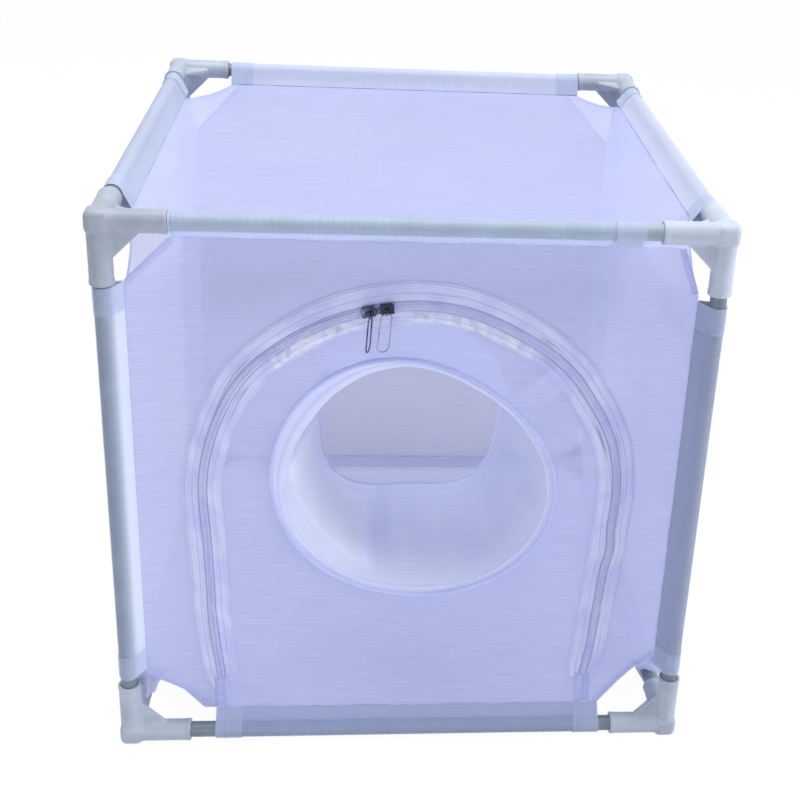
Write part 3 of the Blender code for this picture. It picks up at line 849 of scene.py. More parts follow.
# %% [markdown]
# A cut is given by how far its two ends lie from the middles of the sides that it joins. Each cut has a
# narrow folded hem. The front panel follows later, because the zip divides it.
# %% Whole panels
EVEN_CUTS = {corner: (SLEEVE_HALF, SLEEVE_HALF) for corner in product((-1, 1), repeat=2)}
TOP_CUTS = {
    (-1, 1): (0.1280, 0.1470), (1, 1): (0.1340, 0.1500), (-1, -1): (0.1420, 0.1420), (1, -1): (0.1370, 0.1420)
}
FRONT_CUTS = {
    (-1, 1): (0.1500, 0.1520), (1, 1): (0.1480, 0.1690), (1, -1): (0.1360, 0.1420), (-1, -1): (0.1500, 0.1335)
}
LOW_CUT = (0.1640, 0.1640)
BACK_CUTS = {(-1, -1): LOW_CUT, (1, -1): LOW_CUT, (-1, 1): EVEN_CUTS[-1, 1], (1, 1): EVEN_CUTS[1, 1]}
PANELS = {
    "top_panel": (Vector((0, 0, CEILING_Z)), X, Y, Z, 0.003, net, TOP_CUTS),
    "floor_panel": (Vector((0, 0, FLOOR_Z)), X, -Y, -Z, -0.002, floor_net, EVEN_CUTS),
    "back_panel": (CENTRE - Y * FRONT_Y, -X, Z, Y, 0.0, back_net, BACK_CUTS),
    "left_panel": (CENTRE - X * PANEL_HALF, -Y, Z, -X, 0.0, left_net, EVEN_CUTS),
    "right_panel": (CENTRE + X * PANEL_HALF, Y, Z, X, 0.0, net, EVEN_CUTS),
}  # middle, directions across, up and out, sag, finish and cuts
HEM_WIDTH = 0.0045
HEM_RISE = 0.0006


def cut_hem(panel, corner, cut, seed):
    """The narrow folded hem along one cut corner."""
    first, last, outward = panel.cut_line(corner, cut)

    def put(u, v):
        spot = first.lerp(last, u) - outward * HEM_WIDTH * v
        fold = HEM_RISE * noise.noise(Vector((u * 9, v, seed))) * (1 - v)
        rise = HEM_RISE * math.sin(math.pi * min(1.0, v * 1.2)) + fold + panel.lifted(spot.x, spot.y)
        return panel.point(spot.x, spot.y, rise)

    return cloth_grid(20, 4, put)


hem_strips = bmesh.new()
for index, (name, (centre, across, up, out, sag, finish, cuts)) in enumerate(PANELS.items()):
    panel = Panel(centre, across, up, out)
    bm = cloth_grid(80, 80, panel.stretched(sag, index * 5.3))
    for corner, cut in cuts.items():
        upright, _, outward = panel.cut_line(corner, cut)
        spot = centre + across * upright.x + up * upright.y
        away = across * outward.x + up * outward.y
        geometry = list(bm.verts) + list(bm.edges) + list(bm.faces)
        bmesh.ops.bisect_plane(bm, geom=geometry, plane_co=spot, plane_no=away, clear_outer=True)
        join(hem_strips, cut_hem(panel, corner, cut, index))
    sheet = make_piece(f"{name}_net", bm, finish, "cage", [name])
    flat_area(panel.outline(cuts))

front_panel = Panel(CENTRE + Y * FRONT_Y, X, Z, -Y)
for corner, cut in FRONT_CUTS.items():
    join(hem_strips, cut_hem(front_panel, corner, cut, index))
make_piece("cut_hems", hem_strips, net, "cage")

# %% [markdown]
# At each lower front corner a tongue of the side's netting has slipped out past the front and hangs crumpled.
# %% Corner tongues
NOISE_SEED = 5
TONGUES = (
    ((-188, 57), (-169, 50), (-175, 37), (-182, 28)),
    ((166, 55), (190, 61), (189, 45), (171, 49)),
)  # their corners, in millimetres
TONGUE_PROUD = 0.0035
CRUMPLE = 0.006, 0.0022  # the size and the depth of its folds
RAGGED = 0.009, 0.0015  # the same for its edges
noise.seed_set(NOISE_SEED)  # without a seed, noise_vector starts from the clock


def tongue_place(corners):
    first, second, third, fourth = (Vector((x, 0, z)) * MILLIMETRE for x, z in corners)

    def put(u, v):
        spot = first.lerp(second, u).lerp(fourth.lerp(third, u), v)
        crumple = noise.noise(spot / CRUMPLE[0]) * CRUMPLE[1] + 0.0012 * math.sin(9 * u + 5 * v)
        edge = noise.noise_vector(spot / RAGGED[0]) * RAGGED[1]
        return spot + edge + Y * (FRONT_Y - TONGUE_PROUD + crumple), (u * 0.02, v * 0.02)

    return put


for name, corners in zip(("left", "right"), TONGUES):
    make_piece(f"corner_tongue_{name}", cloth_grid(20, 20, tongue_place(corners)), net, "cage")

# %% [markdown]
# An overlocked seam shows as a slightly uneven ridge of thread, so each seam gets a thin wandering cord.
# %% Seam ridges
RIDGE_STEP = 0.0016
RIDGE_RADIUS = 0.00045
RIDGE_WANDER = 0.007, 0.0007


def wire_bmesh(points, radius, closed=False, roundness=0):
    """A round wire along these points."""
    curve = bpy.data.curves.new("wire", "CURVE")
    curve.dimensions = "3D"
    curve.bevel_depth = radius
    curve.bevel_resolution = roundness
    curve.use_fill_caps = True
    spline = curve.splines.new("POLY")
    spline.points.add(len(points) - 1)
    for knot, point in zip(spline.points, points):
        knot.co = (*point, 1)
    spline.use_cyclic_u = closed
    mesh = apply_modifiers(added("wire", curve))
    bm = bmesh.new()
    bm.from_mesh(mesh)
    bmesh.ops.remove_doubles(bm, verts=bm.verts, dist=MERGE)
    bpy.data.meshes.remove(mesh)
    return bm


ridges = bmesh.new()
for name, place, along, _ in frame_edges():
    low, high = SLEEVE_ENDS.get(name, (-SLEEVE_HALF, SLEEVE_HALF))
    seam = CENTRE + seam_line(place - CENTRE)
    knots = []
    for step in range(int((high - low) / RIDGE_STEP) + 1):
        spot = seam + along * (low + step * RIDGE_STEP)
        knots.append(spot + noise.noise_vector(spot / RIDGE_WANDER[0]) * RIDGE_WANDER[1])
    join(ridges, wire_bmesh(knots, RIDGE_RADIUS))
make_piece("seam_ridges", ridges, seam_thread, "cage")

# %% [markdown]
# ## Front and door
# The arch of the zip cuts the front panel in two: the part that stays and the door. Both are grids between
# two lines, the arch and the panel's edge or the arch and the port's rim, so their crossings follow the zip.
# %% Arch lines
PARALLEL, ROUNDING = 1e-12, 1e-9


def arch_point(share, offset, foot):
    """A point at one distance outside the zip's middle line, up the left leg, over, and down the right."""
    radius = ARCH_RADIUS + offset
    start = Vector((-radius * math.cos(LEG_LEAN), ARCH_Z - radius * math.sin(LEG_LEAN)))
    leg = (start.y - foot) / math.cos(LEG_LEAN)
    bend = radius * (math.pi + 2 * LEG_LEAN)
    total = 2 * leg + bend
    along = share * total
    drop = Vector((math.sin(LEG_LEAN), -math.cos(LEG_LEAN)))
    if along < leg:
        spot = start + drop * (leg - along)
    elif along > leg + bend:
        past = along - leg - bend
        spot = Vector((-start.x - drop.x * past, start.y + drop.y * past))
    else:
        turned = -math.pi / 2 - LEG_LEAN + (along - leg) / radius
        spot = Vector((math.sin(turned) * radius, ARCH_Z + math.cos(turned) * radius))
    spot.x += ARCH_X
    return spot, along


def ray_to_outline(origin, towards, outline):
    """Where a line from the origin leaves the outline."""
    reaches = []
    for p, q in zip(outline, outline[1:] + outline[:1]):
        side, offset = q - p, p - origin
        across = towards.cross(side)
        if abs(across) > PARALLEL and -ROUNDING <= offset.cross(towards) / across <= 1 + ROUNDING:
            reaches.append(offset.cross(side) / across)
    return origin + towards * min(reach for reach in reaches if reach > 0)


# %% [markdown]
# The front netting waves like the other panels, but the stiff tape of the zip keeps it flat beside the arch.
# %% How the front stands
FRONT_SEED = 40.0
FRONT_WAVES = (0.06, 0.0016), (0.016, 0.0004)
TAPE_HOLDS = 0.85, 0.014  # how much of the waves the tape takes away, and how far from the arch
front_outline = [Vector((p.x, p.y + CENTRE.z)) for p in front_panel.outline(FRONT_CUTS)]
BOTTOM = CENTRE.z - front_panel.reach[0, -1]


def bell(away, width):
    """1 at a place and less beside it, over about this width."""
    return math.exp(-((away / width) ** 2))


def within(value):
    """The value, kept between 0 and 1."""
    return min(1.0, max(0.0, value))


def front_bulge(x, z):
    """How far the front netting stands in front of its plane."""
    b = z - CENTRE.z
    from_arch = math.hypot(x - ARCH_X, max(0.0, z - ARCH_Z)) - ARCH_RADIUS
    loose = min(1.0, 4 * front_panel.held(x, b)) * (1 - TAPE_HOLDS[0] * bell(from_arch, TAPE_HOLDS[1]))
    return loose * slack(x, z, FRONT_SEED, *FRONT_WAVES) + front_panel.lifted(x, b)


# %% [markdown]
# The sewing and the hang of the cloth draw the zip a few millimetres away from the true arch, and the
# netting follows. Where the sewing tugs, the cloth stands up in small straight folds.
# %% Pulled and folded cloth
PULLS = (
    (-112, 285, -1.7, 1.6, 34),
    (-28, 330, 0.0, -0.8, 26),
    (72, 314, -1.0, -2.2, 36),
    (116, 268, -1.6, -0.9, 24),
    (-135, 92, -2.3, 0.0, 42),
    (140, 150, 2.2, 0.0, 13),
    (130, 34, -2.6, 0.0, 22),
)  # in millimetres: a place, how far the cloth is drawn there, and how far round it that is felt
FOLDS = (
    (90, 231, 101, 257, 0.9, 5.0),
    (-81, 254, -105, 266, 1.4, 5.0),
    (-55, 284, -72, 305, -1.1, 5.0),
    (-40, 292, -52, 314, 1.2, 4.0),
    (72, 274, 92, 292, 1.5, 5.0),
    (84, 262, 104, 274, -1.2, 4.0),
    (97, 222, 122, 226, 1.3, 5.0),
    (49, 289, 50, 273, 0.8, 2.2),
    (92, 322, 128, 283, 1.8, 5.0),
    (121, 292, 137, 262, -1.2, 4.0),
    (-128, 236, -119, 205, 1.0, 6.0),
    (-150, 320, -70, 350, 0.6, 9.0),
    (150, 355, 176, 300, 1.6, 5.0),
    (158, 352, 172, 330, -1.0, 2.5),
    (-150, 60, -128, 120, 0.6, 7.0),
    (-118, 44, -92, 28, 1.1, 3.5),
)  # in millimetres: the two ends of a fold's line, its height and its width


def pulled(spot):
    """Where the cloth that would lie at this spot is drawn to."""
    drawn = spot.copy()
    for x, z, right_by, up_by, reach in PULLS:
        felt = bell((spot - Vector((x, z)) * MILLIMETRE).length, reach * MILLIMETRE)
        drawn += Vector((right_by, up_by)) * (MILLIMETRE * felt)
    return drawn


def folded(spot):
    """How far the folds lift the cloth at this spot."""
    height = 0.0
    for x1, z1, x2, z2, rise, width in FOLDS:
        start, end = Vector((x1, z1)) * MILLIMETRE, Vector((x2, z2)) * MILLIMETRE
        share = (spot - start).dot(end - start) / (end - start).length_squared
        away = (spot - start.lerp(end, within(share))).length
        height += rise * MILLIMETRE * bell(away, width * MILLIMETRE)
    return height


def on_front(spot, lift=0.0):
    spot = pulled(spot)
    return Vector((spot.x, FRONT_Y - front_bulge(spot.x, spot.y) - folded(spot) - lift, spot.y))


# %% [markdown]
# The part that stays runs from the zip out to the panel's edge. Below the zip's feet it meets the door.
# %% Front netting
def slit_point(share, side):
    """A point beside the zip; below the zip's foot the two cloths meet."""
    spot, _ = arch_point(share, side * CLOTH_SLIT, BOTTOM)
    closed = within((FOOT_Z - spot.y) / (4 * MILLIMETRE))
    spot.x -= closed * side * CLOTH_SLIT * math.copysign(1, spot.x)
    return spot


def front_place(u, v):
    near = slit_point(u, 1)
    hub = Vector((ARCH_X, min(near.y, ARCH_Z)))
    far = ray_to_outline(hub, (near - hub).normalized(), front_outline)
    spot = near.lerp(far, v)
    return on_front(spot), (spot.x + HALF, spot.y)


front = make_piece(
    "front_panel_net", cloth_grid(220, 14, front_place), front_net, "cage", ["front_panel"]
)

# %% [markdown]
# The door is a ring of netting between its edge and the port's soft rim, which isn't quite round.
# %% Door netting
ARCH_SHARE = 0.80  # of the door's edge lies along the zip, and the rest is its hinge
RIM_PULL = ((-6.6, -2.0), (-2.3, -4.4), (1.4, -1.0))


def ring_point(centre, radius, waves, turned):
    """A point of a soft ring, by its angle from the top to the right; waves draw it out, in millimetres."""
    pull = 0.0
    for count, (cosine, sine) in enumerate(waves, 1):
        pull += cosine * math.cos(count * turned) + sine * math.sin(count * turned)
    reach = radius + MILLIMETRE * pull
    return Vector((centre.x + reach * math.sin(turned), centre.z + reach * math.cos(turned)))


def door_outline_point(u):
    """The door's edge: the arch from foot to foot, then back along the hinge line."""
    if u <= ARCH_SHARE:
        return slit_point(u / ARCH_SHARE, -1)
    return slit_point(1, -1).lerp(slit_point(0, -1), (u - ARCH_SHARE) / (1 - ARCH_SHARE))


def door_place(u, v):
    edge = door_outline_point(u)
    turned = math.atan2(edge.x - PORT.x, edge.y - PORT.z)
    spot = edge.lerp(ring_point(PORT, PORT_RADIUS - MILLIMETRE, RIM_PULL, turned), v)
    return on_front(spot), (spot.x + HALF, spot.y)


door = make_piece("door_net", cloth_grid(260, 22, door_place, True), net, None, ["door_panel"])
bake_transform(door)

# %% [markdown]
# ## Zip
# The zip is two tapes with a row of nylon coil each. Beside the arch the door's tape is sewn in little
# gathers, and both tapes narrow towards their feet.
# %% Zip tapes
TAPE_REACH = 0.0125
TAPE_LIFT = 0.0010
UV_MIDDLE = 0.5  # the cloth's own metres at the top of the arch and on the zip's middle line
GATHERED = ((-46, -14), (-4, 36))  # degrees round the arch where the door's tape is sewn in little gathers
GATHER_SOFT = math.radians(4)
GATHER_CREST = 0.0068, 0.0042  # from the zip's middle, and its width
GATHER_RISE, BEAD_RISE, BEAD_LENGTH = 0.0008, 0.0013, 0.0037
TOP_WIDENING = 0.0045  # of the frame's tape at the top of the arch
NARROWED = 0.55  # how much of its width a tape loses at its foot
NARROW_FROM, NARROW_OVER = 0.016, 0.022  # how far above the foot it starts, and over what height


def gathers(turned):
    """1 where the tape is gathered and 0 elsewhere, by the angle from the arch's top."""
    past = (min(turned - math.radians(start), math.radians(end) - turned) for start, end in GATHERED)
    return within(max(past) / GATHER_SOFT)


def pucker(spot, along, across, side):
    """Small waves of the tape, and the gathers below the top of the arch."""
    wave = noise.noise(Vector((along / 0.011, across / 0.02, 7.0))) * 0.0003
    size = gathers(math.atan2(spot.x - ARCH_X, spot.y - ARCH_Z)) * (1 if side < 0 else 0.25)
    crest = bell(across - GATHER_CREST[0], GATHER_CREST[1])
    bead = abs(math.sin(along / BEAD_LENGTH + 2 * noise.noise(Vector((along / 0.02, 3.0, 1.0)))))
    return (wave + size * crest * (GATHER_RISE + BEAD_RISE * bead)) * min(1.0, across / 0.004)


def tape_place(side, foot):
    def put(u, v):
        centre_line, _ = arch_point(u, 0, foot)
        over = max(0.0, (centre_line.y - ARCH_Z) / ARCH_RADIUS)
        reach = TAPE_REACH + (TOP_WIDENING * over * over if side > 0 else 0.0)
        reach += ripple(Vector((u * 0.7, 0, 0)), 0.02, 0.0005, side)
        near_foot = within((FOOT_Z + NARROW_FROM - centre_line.y) / NARROW_OVER)
        reach *= 1 - NARROWED * near_foot * near_foot
        across = CLOTH_SLIT + (reach - CLOTH_SLIT) * v
        spot, along = arch_point(u, side * across, foot)
        point = on_front(spot, TAPE_LIFT + pucker(spot, along, across, side))
        past_top = (u - 0.5) * arch_point(1, 0, foot)[1]
        return point, (UV_MIDDLE + past_top, UV_MIDDLE + side * (CLOTH_SLIT + (TAPE_REACH - CLOTH_SLIT) * v))

    return put


# %% [markdown]
# A zip's tape is woven tighter than the netting. Fine ribs run along it, a groove with painted shade lies
# beside the coil, a line of stitches holds it, and its outer edge is doubled, with a painted shadow along it.
# All of this follows the distance from the zip's middle. On a few stretches a painted shadow darkens the
# tape, and the gathers get painted highlights, with painted shade between their beads.
# %% Tape cloth
# Stretches of the arch that get painted shadow.
PAINTED_SHADOWS = ((-66, -46), (33, 50), (62, 78))  # degrees round the arch where the tape sinks into shadow
RIB, BAR, DASH = 0.0013, 0.0011, 0.0034  # from one rib, bar or stitch to the next
GROOVE = 0.0028, 0.0007  # this line and the next three: how far from the zip's middle, and how wide
INNER_SEAM = 0.0074, 0.0005
STITCHES = 0.0100, 0.0004
DOUBLED_EDGE = 0.0122, 0.0008


def round_arch(past_top, ranges):
    """1 on these stretches of the arch, in degrees from its top."""
    degree = math.radians(1) * ARCH_RADIUS
    first, *others = [past_top.between(start * degree, end * degree, 0.012) for start, end in ranges]
    for other in others:
        first = first.most(other)
    return first


def tape_finish():
    finish = Finish("zip_tape_cloth", roughness=0.6, sheen_weight=0.2)
    along, across, cloth = threads(finish)
    past_top, outward = along - UV_MIDDLE, across - UV_MIDDLE
    beside = outward.away()
    inner = outward.math("LESS_THAN", 0.0)
    wander = finish.noise(0.012, cloth) * 0.0010
    ribs, bars = beside.zigzag(RIB) * 2, along.zigzag(BAR) * 2
    streaks = finish.noise(0.0021, cloth, detail=1.5, stretch=(18, 1, 1)).ramp(0.47, 0.72)
    # A painted shadow along the doubled outer edge, stronger on the frame's tape.
    edge = (beside + wander).line(*DOUBLED_EDGE) * (0.42 - inner * 0.2)
    dash = along.zigzag(DASH).ramp(0.14, 0.24)
    stitch = (beside + wander * 0.3).line(*STITCHES) * dash * 0.25
    seam = (beside + wander).line(*INNER_SEAM) * 0.4
    # Painted shadow on a few stretches of the arch.
    painted_shadow = round_arch(past_top, PAINTED_SHADOWS) * beside.between(0.0015, 0.0085, 0.002)
    gathered = round_arch(past_top, GATHERED) * inner * beside.between(0.0020, 0.0118, 0.0022)
    beads = finish.noise(0.0085, cloth, detail=0.8, stretch=(0.8, 1.2, 1)).ramp(0.34, 0.60)
    # Painted shade in the groove beside the coil, with the edge's painted shadow and the stitches.
    lines = (beside.line(*GROOVE) * 0.75).most(edge).most(stitch) * (1 - gathered * 0.8)
    dark = lines.most(seam).most(streaks * (painted_shadow * 0.6 + 0.22) * (1 - gathered))
    light = finish.blend(finish.noise(0.025, cloth).ramp(0.35, 0.65), (0.65, 0.68, 0.96), (0.78, 0.81, 1.0))
    # Painted highlights on the gathers' beads, and painted shade between them.
    light = finish.blend(gathered * (beads * 0.5 + 0.5), light, (0.90, 0.93, 1.0))
    light = finish.blend(gathered * (1 - beads) * 0.2, light, (0.46, 0.51, 0.70))
    tint = finish.blend(dark, light, (0.28, 0.33, 0.50))
    relief = ribs * 0.5 + bars * 0.15 - dark * 1.2 + gathered * beads * 3
    return finish.cloth(tint, relief, ribs * 0.08 + 0.86, 0.2, depth=0.0003, strength=0.6)


DOOR_FOOT = FOOT_Z + 0.0008  # a little above the hinge line, so that the door's half swings clear
tape_cloth = tape_finish()
frame_tape = make_piece(
    "frame_tape", cloth_grid(560, 12, tape_place(1, BOTTOM + 0.0004)), tape_cloth, "cage",
    ["frame_zip_tape"],
)
door_tape = make_piece(
    "door_tape", cloth_grid(560, 12, tape_place(-1, DOOR_FOOT)), tape_cloth, "door",
    ["door_zip_tape"],
)

# %% [markdown]
# The coil of a nylon zip is one wire wound round and round, so each row is a curve that winds along the arch.
# The two rows are half a turn apart, so that their teeth mesh.
# %% Zip coils
COIL_PITCH = 0.0013
COIL_STEPS = 8  # points in one turn of the wire
COIL_WIRE = 0.0003
COIL_HALF = 0.00105
COIL_RISE = 0.0010, 0.0005  # above the tape, and up and down from there


def coil_bmesh(side, foot, phase):
    """One row of coil, as a wire that winds along the arch."""
    steps = int(arch_point(1, 0, foot)[1] / COIL_PITCH) * COIL_STEPS
    points = []
    for i in range(steps + 1):
        turned = 2 * math.pi * (i / COIL_STEPS) + phase
        across = COIL_HALF - COIL_HALF * math.cos(turned)
        spot, _ = arch_point(i / steps, side * across, foot)
        points.append(on_front(spot, TAPE_LIFT + COIL_RISE[0] + COIL_RISE[1] * math.sin(turned)))
    return wire_bmesh(points, COIL_WIRE)


frame_coil = make_piece(
    "frame_coil", coil_bmesh(1, FOOT_Z, 0), coil_nylon, "cage", ["frame_zip_coil"]
)
door_coil = make_piece(
    "door_coil", coil_bmesh(-1, DOOR_FOOT, math.pi), coil_nylon, "door", ["door_zip_coil"]
)

# %% [markdown]
# At each foot of the zip the tapes run into the bottom seam, and a patch of netting covers the coil's ends.
# %% Foot patches
PATCH_WIDTH = 0.011
PATCH_TOP = FOOT_Z + 0.0030
PATCH_OVER = 0.0022  # how far it stands over the coil
PATCH_INSET = 0.0006
PATCH_CREASE = 0.56, 0.05, 0.0008  # where across the patch, how wide and how deep


def patch_place(side):
    foot = arch_point(0, 0, FOOT_Z)[0].x - ARCH_X
    where, width, depth = PATCH_CREASE

    def put(u, v):
        x = ARCH_X - side * foot + (u - 0.5) * PATCH_WIDTH
        z = BOTTOM + PATCH_INSET + (PATCH_TOP - BOTTOM) * v
        crease = depth * bell(u - where, width) + 0.0004 * noise.noise(Vector((x, z, 0)) / 0.006)
        over = PATCH_OVER * min(1.0, 5 * v) * min(1.0, 6 * u, 6 * (1 - u))
        return on_front(Vector((x, z)), TAPE_LIFT * 0.6 + over - crease), (x + HALF, z)

    return put


for name, side in (("left", -1), ("right", 1)):
    make_piece(f"foot_patch_{name}", cloth_grid(24, 18, patch_place(side)), net, "cage")

# %% [markdown]
# ## Arm port
# The port is bound with a narrow strip that is folded round its edge. A small ring of cloth shows that well,
# with its own metres round it and over it.
# %% Port rim
RIM_RADIUS = PORT_RADIUS - 0.0015
RIM_MINOR = 0.0016
RIM_PROUD = 0.0006


def ring_place(point_at, minor, y_of):
    def put(u, v):
        turned, roll = 2 * math.pi * u, 2 * math.pi * v
        spot = point_at(turned)
        outward = (spot - Vector((PORT.x, PORT.z))).normalized()
        spot = spot + outward * minor * math.cos(roll)
        point = Vector((spot.x, y_of(turned) - minor * math.sin(roll), spot.y))
        return point, (turned * PORT_RADIUS, roll * minor)

    return put


def rim_point(turned):
    return ring_point(PORT, RIM_RADIUS, RIM_PULL, turned)


def rim_y(turned):
    return FRONT_Y - RIM_PROUD - front_bulge(*ring_point(PORT, PORT_RADIUS, RIM_PULL, turned))


rim = make_piece(
    "port_rim", cloth_grid(180, 10, ring_place(rim_point, RIM_MINOR, rim_y), True), hem_cloth, "door",
    ["port_hem"],
)

# %% [markdown]
# The arm sleeve starts as a soft hem that lies in the port, widest at its upper left, and runs back to the
# cuff. Its left wall is folded over itself, with painted light that makes it whiter there, and a crease runs
# down beside the fold.
# %% Arm sleeve
CUFF_MINOR = 0.0011
CUFF_PULL = ((-5.0, -1.2), (0.1, 1.0), (0.0, 0.7), (-3.4, 1.2), (2.3, 0.8))
SLEEVE_FOLDS = (
    (-98, 0.20, -5.0, 5, 0.07),
    (-176, 0.66, 3.6, 6, 0.30),
    (118, 0.30, 3.5, 12, 0.15),
    (140, 0.45, -3.0, 16, 0.30),
)  # where round the sleeve in degrees, how far in, the rise in millimetres, and how wide and how long it is
FOLD_FROM, FOLD_TO = 200, 270  # degrees round the sleeve from its top, where the left wall is folded over
FOLD_RISE = 6.5
AROUND, INWARDS = 0.45, 0.115  # the cloth's own metres round the sleeve and along it
LIP = 0.05  # the share of the sleeve that lies flat in the port as a hem
LIP_LEAST, LIP_MORE = 4, 9  # its width in millimetres, and what is added where it is widest
LIP_WIDEST = -58  # degrees from the port's top
CUFF_BACK = 0.003
SWELL = 0.0016, 7, 1.2  # the sleeve's soft folds: how high, how many round it, and how they lean
CREASES = 0.0007, 17, -2


def smooth(value, start, end):
    """0 before start and 1 after end, with a soft step between."""
    share = within((value - start) / (end - start))
    return share * share * (3 - 2 * share)


def cuff_point(turned):
    return ring_point(CUFF, CUFF_RADIUS - CUFF_MINOR, CUFF_PULL, turned)


def turned_from(degrees, place):
    """The way round from a place, between -180 and 180 degrees."""
    return (degrees - place + 180) % 360 - 180


def lip_width(degrees):
    return MILLIMETRE * (LIP_LEAST + LIP_MORE * bell(turned_from(degrees, LIP_WIDEST), 32))


def sleeve_rise(degrees, v):
    """How far the sleeve's wall hangs inwards, in metres."""
    begun, ended = smooth(degrees, FOLD_FROM - 3, FOLD_FROM + 4), smooth(degrees, FOLD_TO - 12, FOLD_TO + 6)
    height = FOLD_RISE * begun * (1 - ended) * smooth(v, 0.14, 0.22) * (1 - smooth(v, 0.6, 1.0))
    for place, inside, rise, width, length in SLEEVE_FOLDS:
        height += rise * bell(turned_from(degrees, place), width) * bell(v - inside, length)
    return height * MILLIMETRE * min(1.0, 8 * v * (1 - v))


def sleeve_place(u, v):
    turned, degrees = 2 * math.pi * u, 360 * u
    v = v**1.4
    spot = rim_point(turned).lerp(cuff_point(turned), v)
    outward = (spot - Vector((PORT.x, PORT.z))).normalized()
    fold = SWELL[0] * math.cos(SWELL[1] * turned + SWELL[2] * v)
    fold += CREASES[0] * math.cos(CREASES[1] * turned + CREASES[2] * v + 1)
    lip = lip_width(degrees) * min(1.0, v / LIP) * (1 - smooth(v, LIP, 0.5))
    spot = spot + outward * (fold * math.sin(math.pi * v) - sleeve_rise(degrees % 360, v) - lip)
    deep = max(0.15 * v, (v - LIP) / (1 - LIP))
    depth = (CUFF.y - CUFF_BACK - FRONT_Y) * deep
    return Vector((spot.x, FRONT_Y + depth, spot.y)), (u * AROUND, v * INWARDS)


# %% [markdown]
# Where the sleeve is folded over, its netting is two layers thick and covers more, and painted light makes it
# whiter there; painted shade darkens the crease beside the fold. The hem is darker, with two sewn lines.
# Where it is pulled taut, on its right, it is more open and painted shade makes it darker.
# %% Arm sleeve cloth
def arm_finish():
    finish = Finish("arm_sleeve_cloth", roughness=0.7, sheen_weight=0.2, sheen_roughness=0.5)
    along, across, cloth = threads(finish)
    degrees, inside = along * (360 / AROUND), across / INWARDS
    warp, weft = strand(along, PITCH), strand(across, 0.0008)
    lines, tint = uneven(finish, cloth, 0.05, (0.80, 0.83, 1.0), (0.87, 0.90, 1.0))
    # Painted light where the left wall is folded over, which is also two layers thick there.
    doubled_and_painted_light = degrees.between(FOLD_FROM, FOLD_TO, 5) * inside.between(0.18, 0.92, 0.06)
    # Painted shade in the crease beside the fold.
    crease = degrees.between(FOLD_FROM - 12, FOLD_FROM + 1, 5) * inside.between(0.35, 1.4, 0.3)
    hem = inside.ramp(LIP + 0.02, LIP)
    sewn = inside.line(LIP + 0.015, 0.010).most(inside.line(LIP * 0.55, 0.008) * 0.7)
    # More open where it is pulled taut, and darker there with painted shade.
    taut_and_painted_shade = degrees.between(50, 158, 25) * (1 - hem)
    tint = finish.blend(doubled_and_painted_light * 0.8, tint, (0.92, 0.94, 1.0))
    tint = finish.blend(hem * 0.5, tint, (0.64, 0.68, 0.94))
    tint = finish.blend((crease * 0.2).most(taut_and_painted_shade * 0.42), tint, (0.50, 0.54, 0.78))
    tint = finish.blend(sewn * 0.3, tint, (0.40, 0.45, 0.68))
    cover = warp.most(weft) * 0.11 + 0.78 + (lines - 0.5) * 0.06 + doubled_and_painted_light * 0.14 - taut_and_painted_shade * 0.06
    return finish.cloth(tint, warp + weft, cover.least(1.0), 0.15)


sleeve = make_piece(
    "arm_sleeve_net", cloth_grid(200, 44, sleeve_place, True), arm_finish(), None, ["arm_sleeve"]
)
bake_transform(sleeve)
cuff_place = ring_place(cuff_point, CUFF_MINOR, lambda turned: CUFF.y)
cuff = make_piece("cuff_ring", cloth_grid(160, 10, cuff_place, True), arm_net, "cuff", ["cuff_hem"])

# %% [markdown]
# ## Sliders
# Two cast sliders stand nose to nose near the arch's top. Each has a ribbed front plate with a flange down
# either side and a bent bar for the pull. Bevelled blocks and a short wire give the casting's soft edges.
# %% Slider casting
PLATE = (0.0102, 0.0066, 0.0009)  # along the zip, across it and thick, like every block's size
PLATE_RISE = 0.0040  # from the netting's plane to the middle of the plate
FLANGE = (PLATE[0] * 0.8, 0.0009, 0.0028)
RIB_BLOCK = (PLATE[0] * 0.7, 0.0008, 0.0005)
NOSE_BLOCK = (0.0022, 0.0030, 0.0008)
BAR_FRONT = middle("pull_loop_right").y
BAR_HALF = 0.0024
BAR_BEND = 0.0006
PULL_WIRE = 0.00045


def block(bm, size, place, soft, narrow=0.0):
    """A bevelled block; narrow draws its +X end in towards the zip's line, like a slider's nose."""
    made = bmesh.ops.create_cube(bm, size=1.0)
    for vert in made["verts"]:
        drawn = 1 - narrow if vert.co.x > 0 else 1
        scaled = Vector((vert.co.x * size[0], vert.co.y * size[2], vert.co.z * size[1] * drawn))
        vert.co = scaled + Vector(place)
    edges = {edge for vert in made["verts"] for edge in vert.link_edges}
    bmesh.ops.bevel(
        bm, geom=list(edges), offset=soft, segments=3, profile=0.5, affect="EDGES", material=-1,
        clamp_overlap=True,
    )


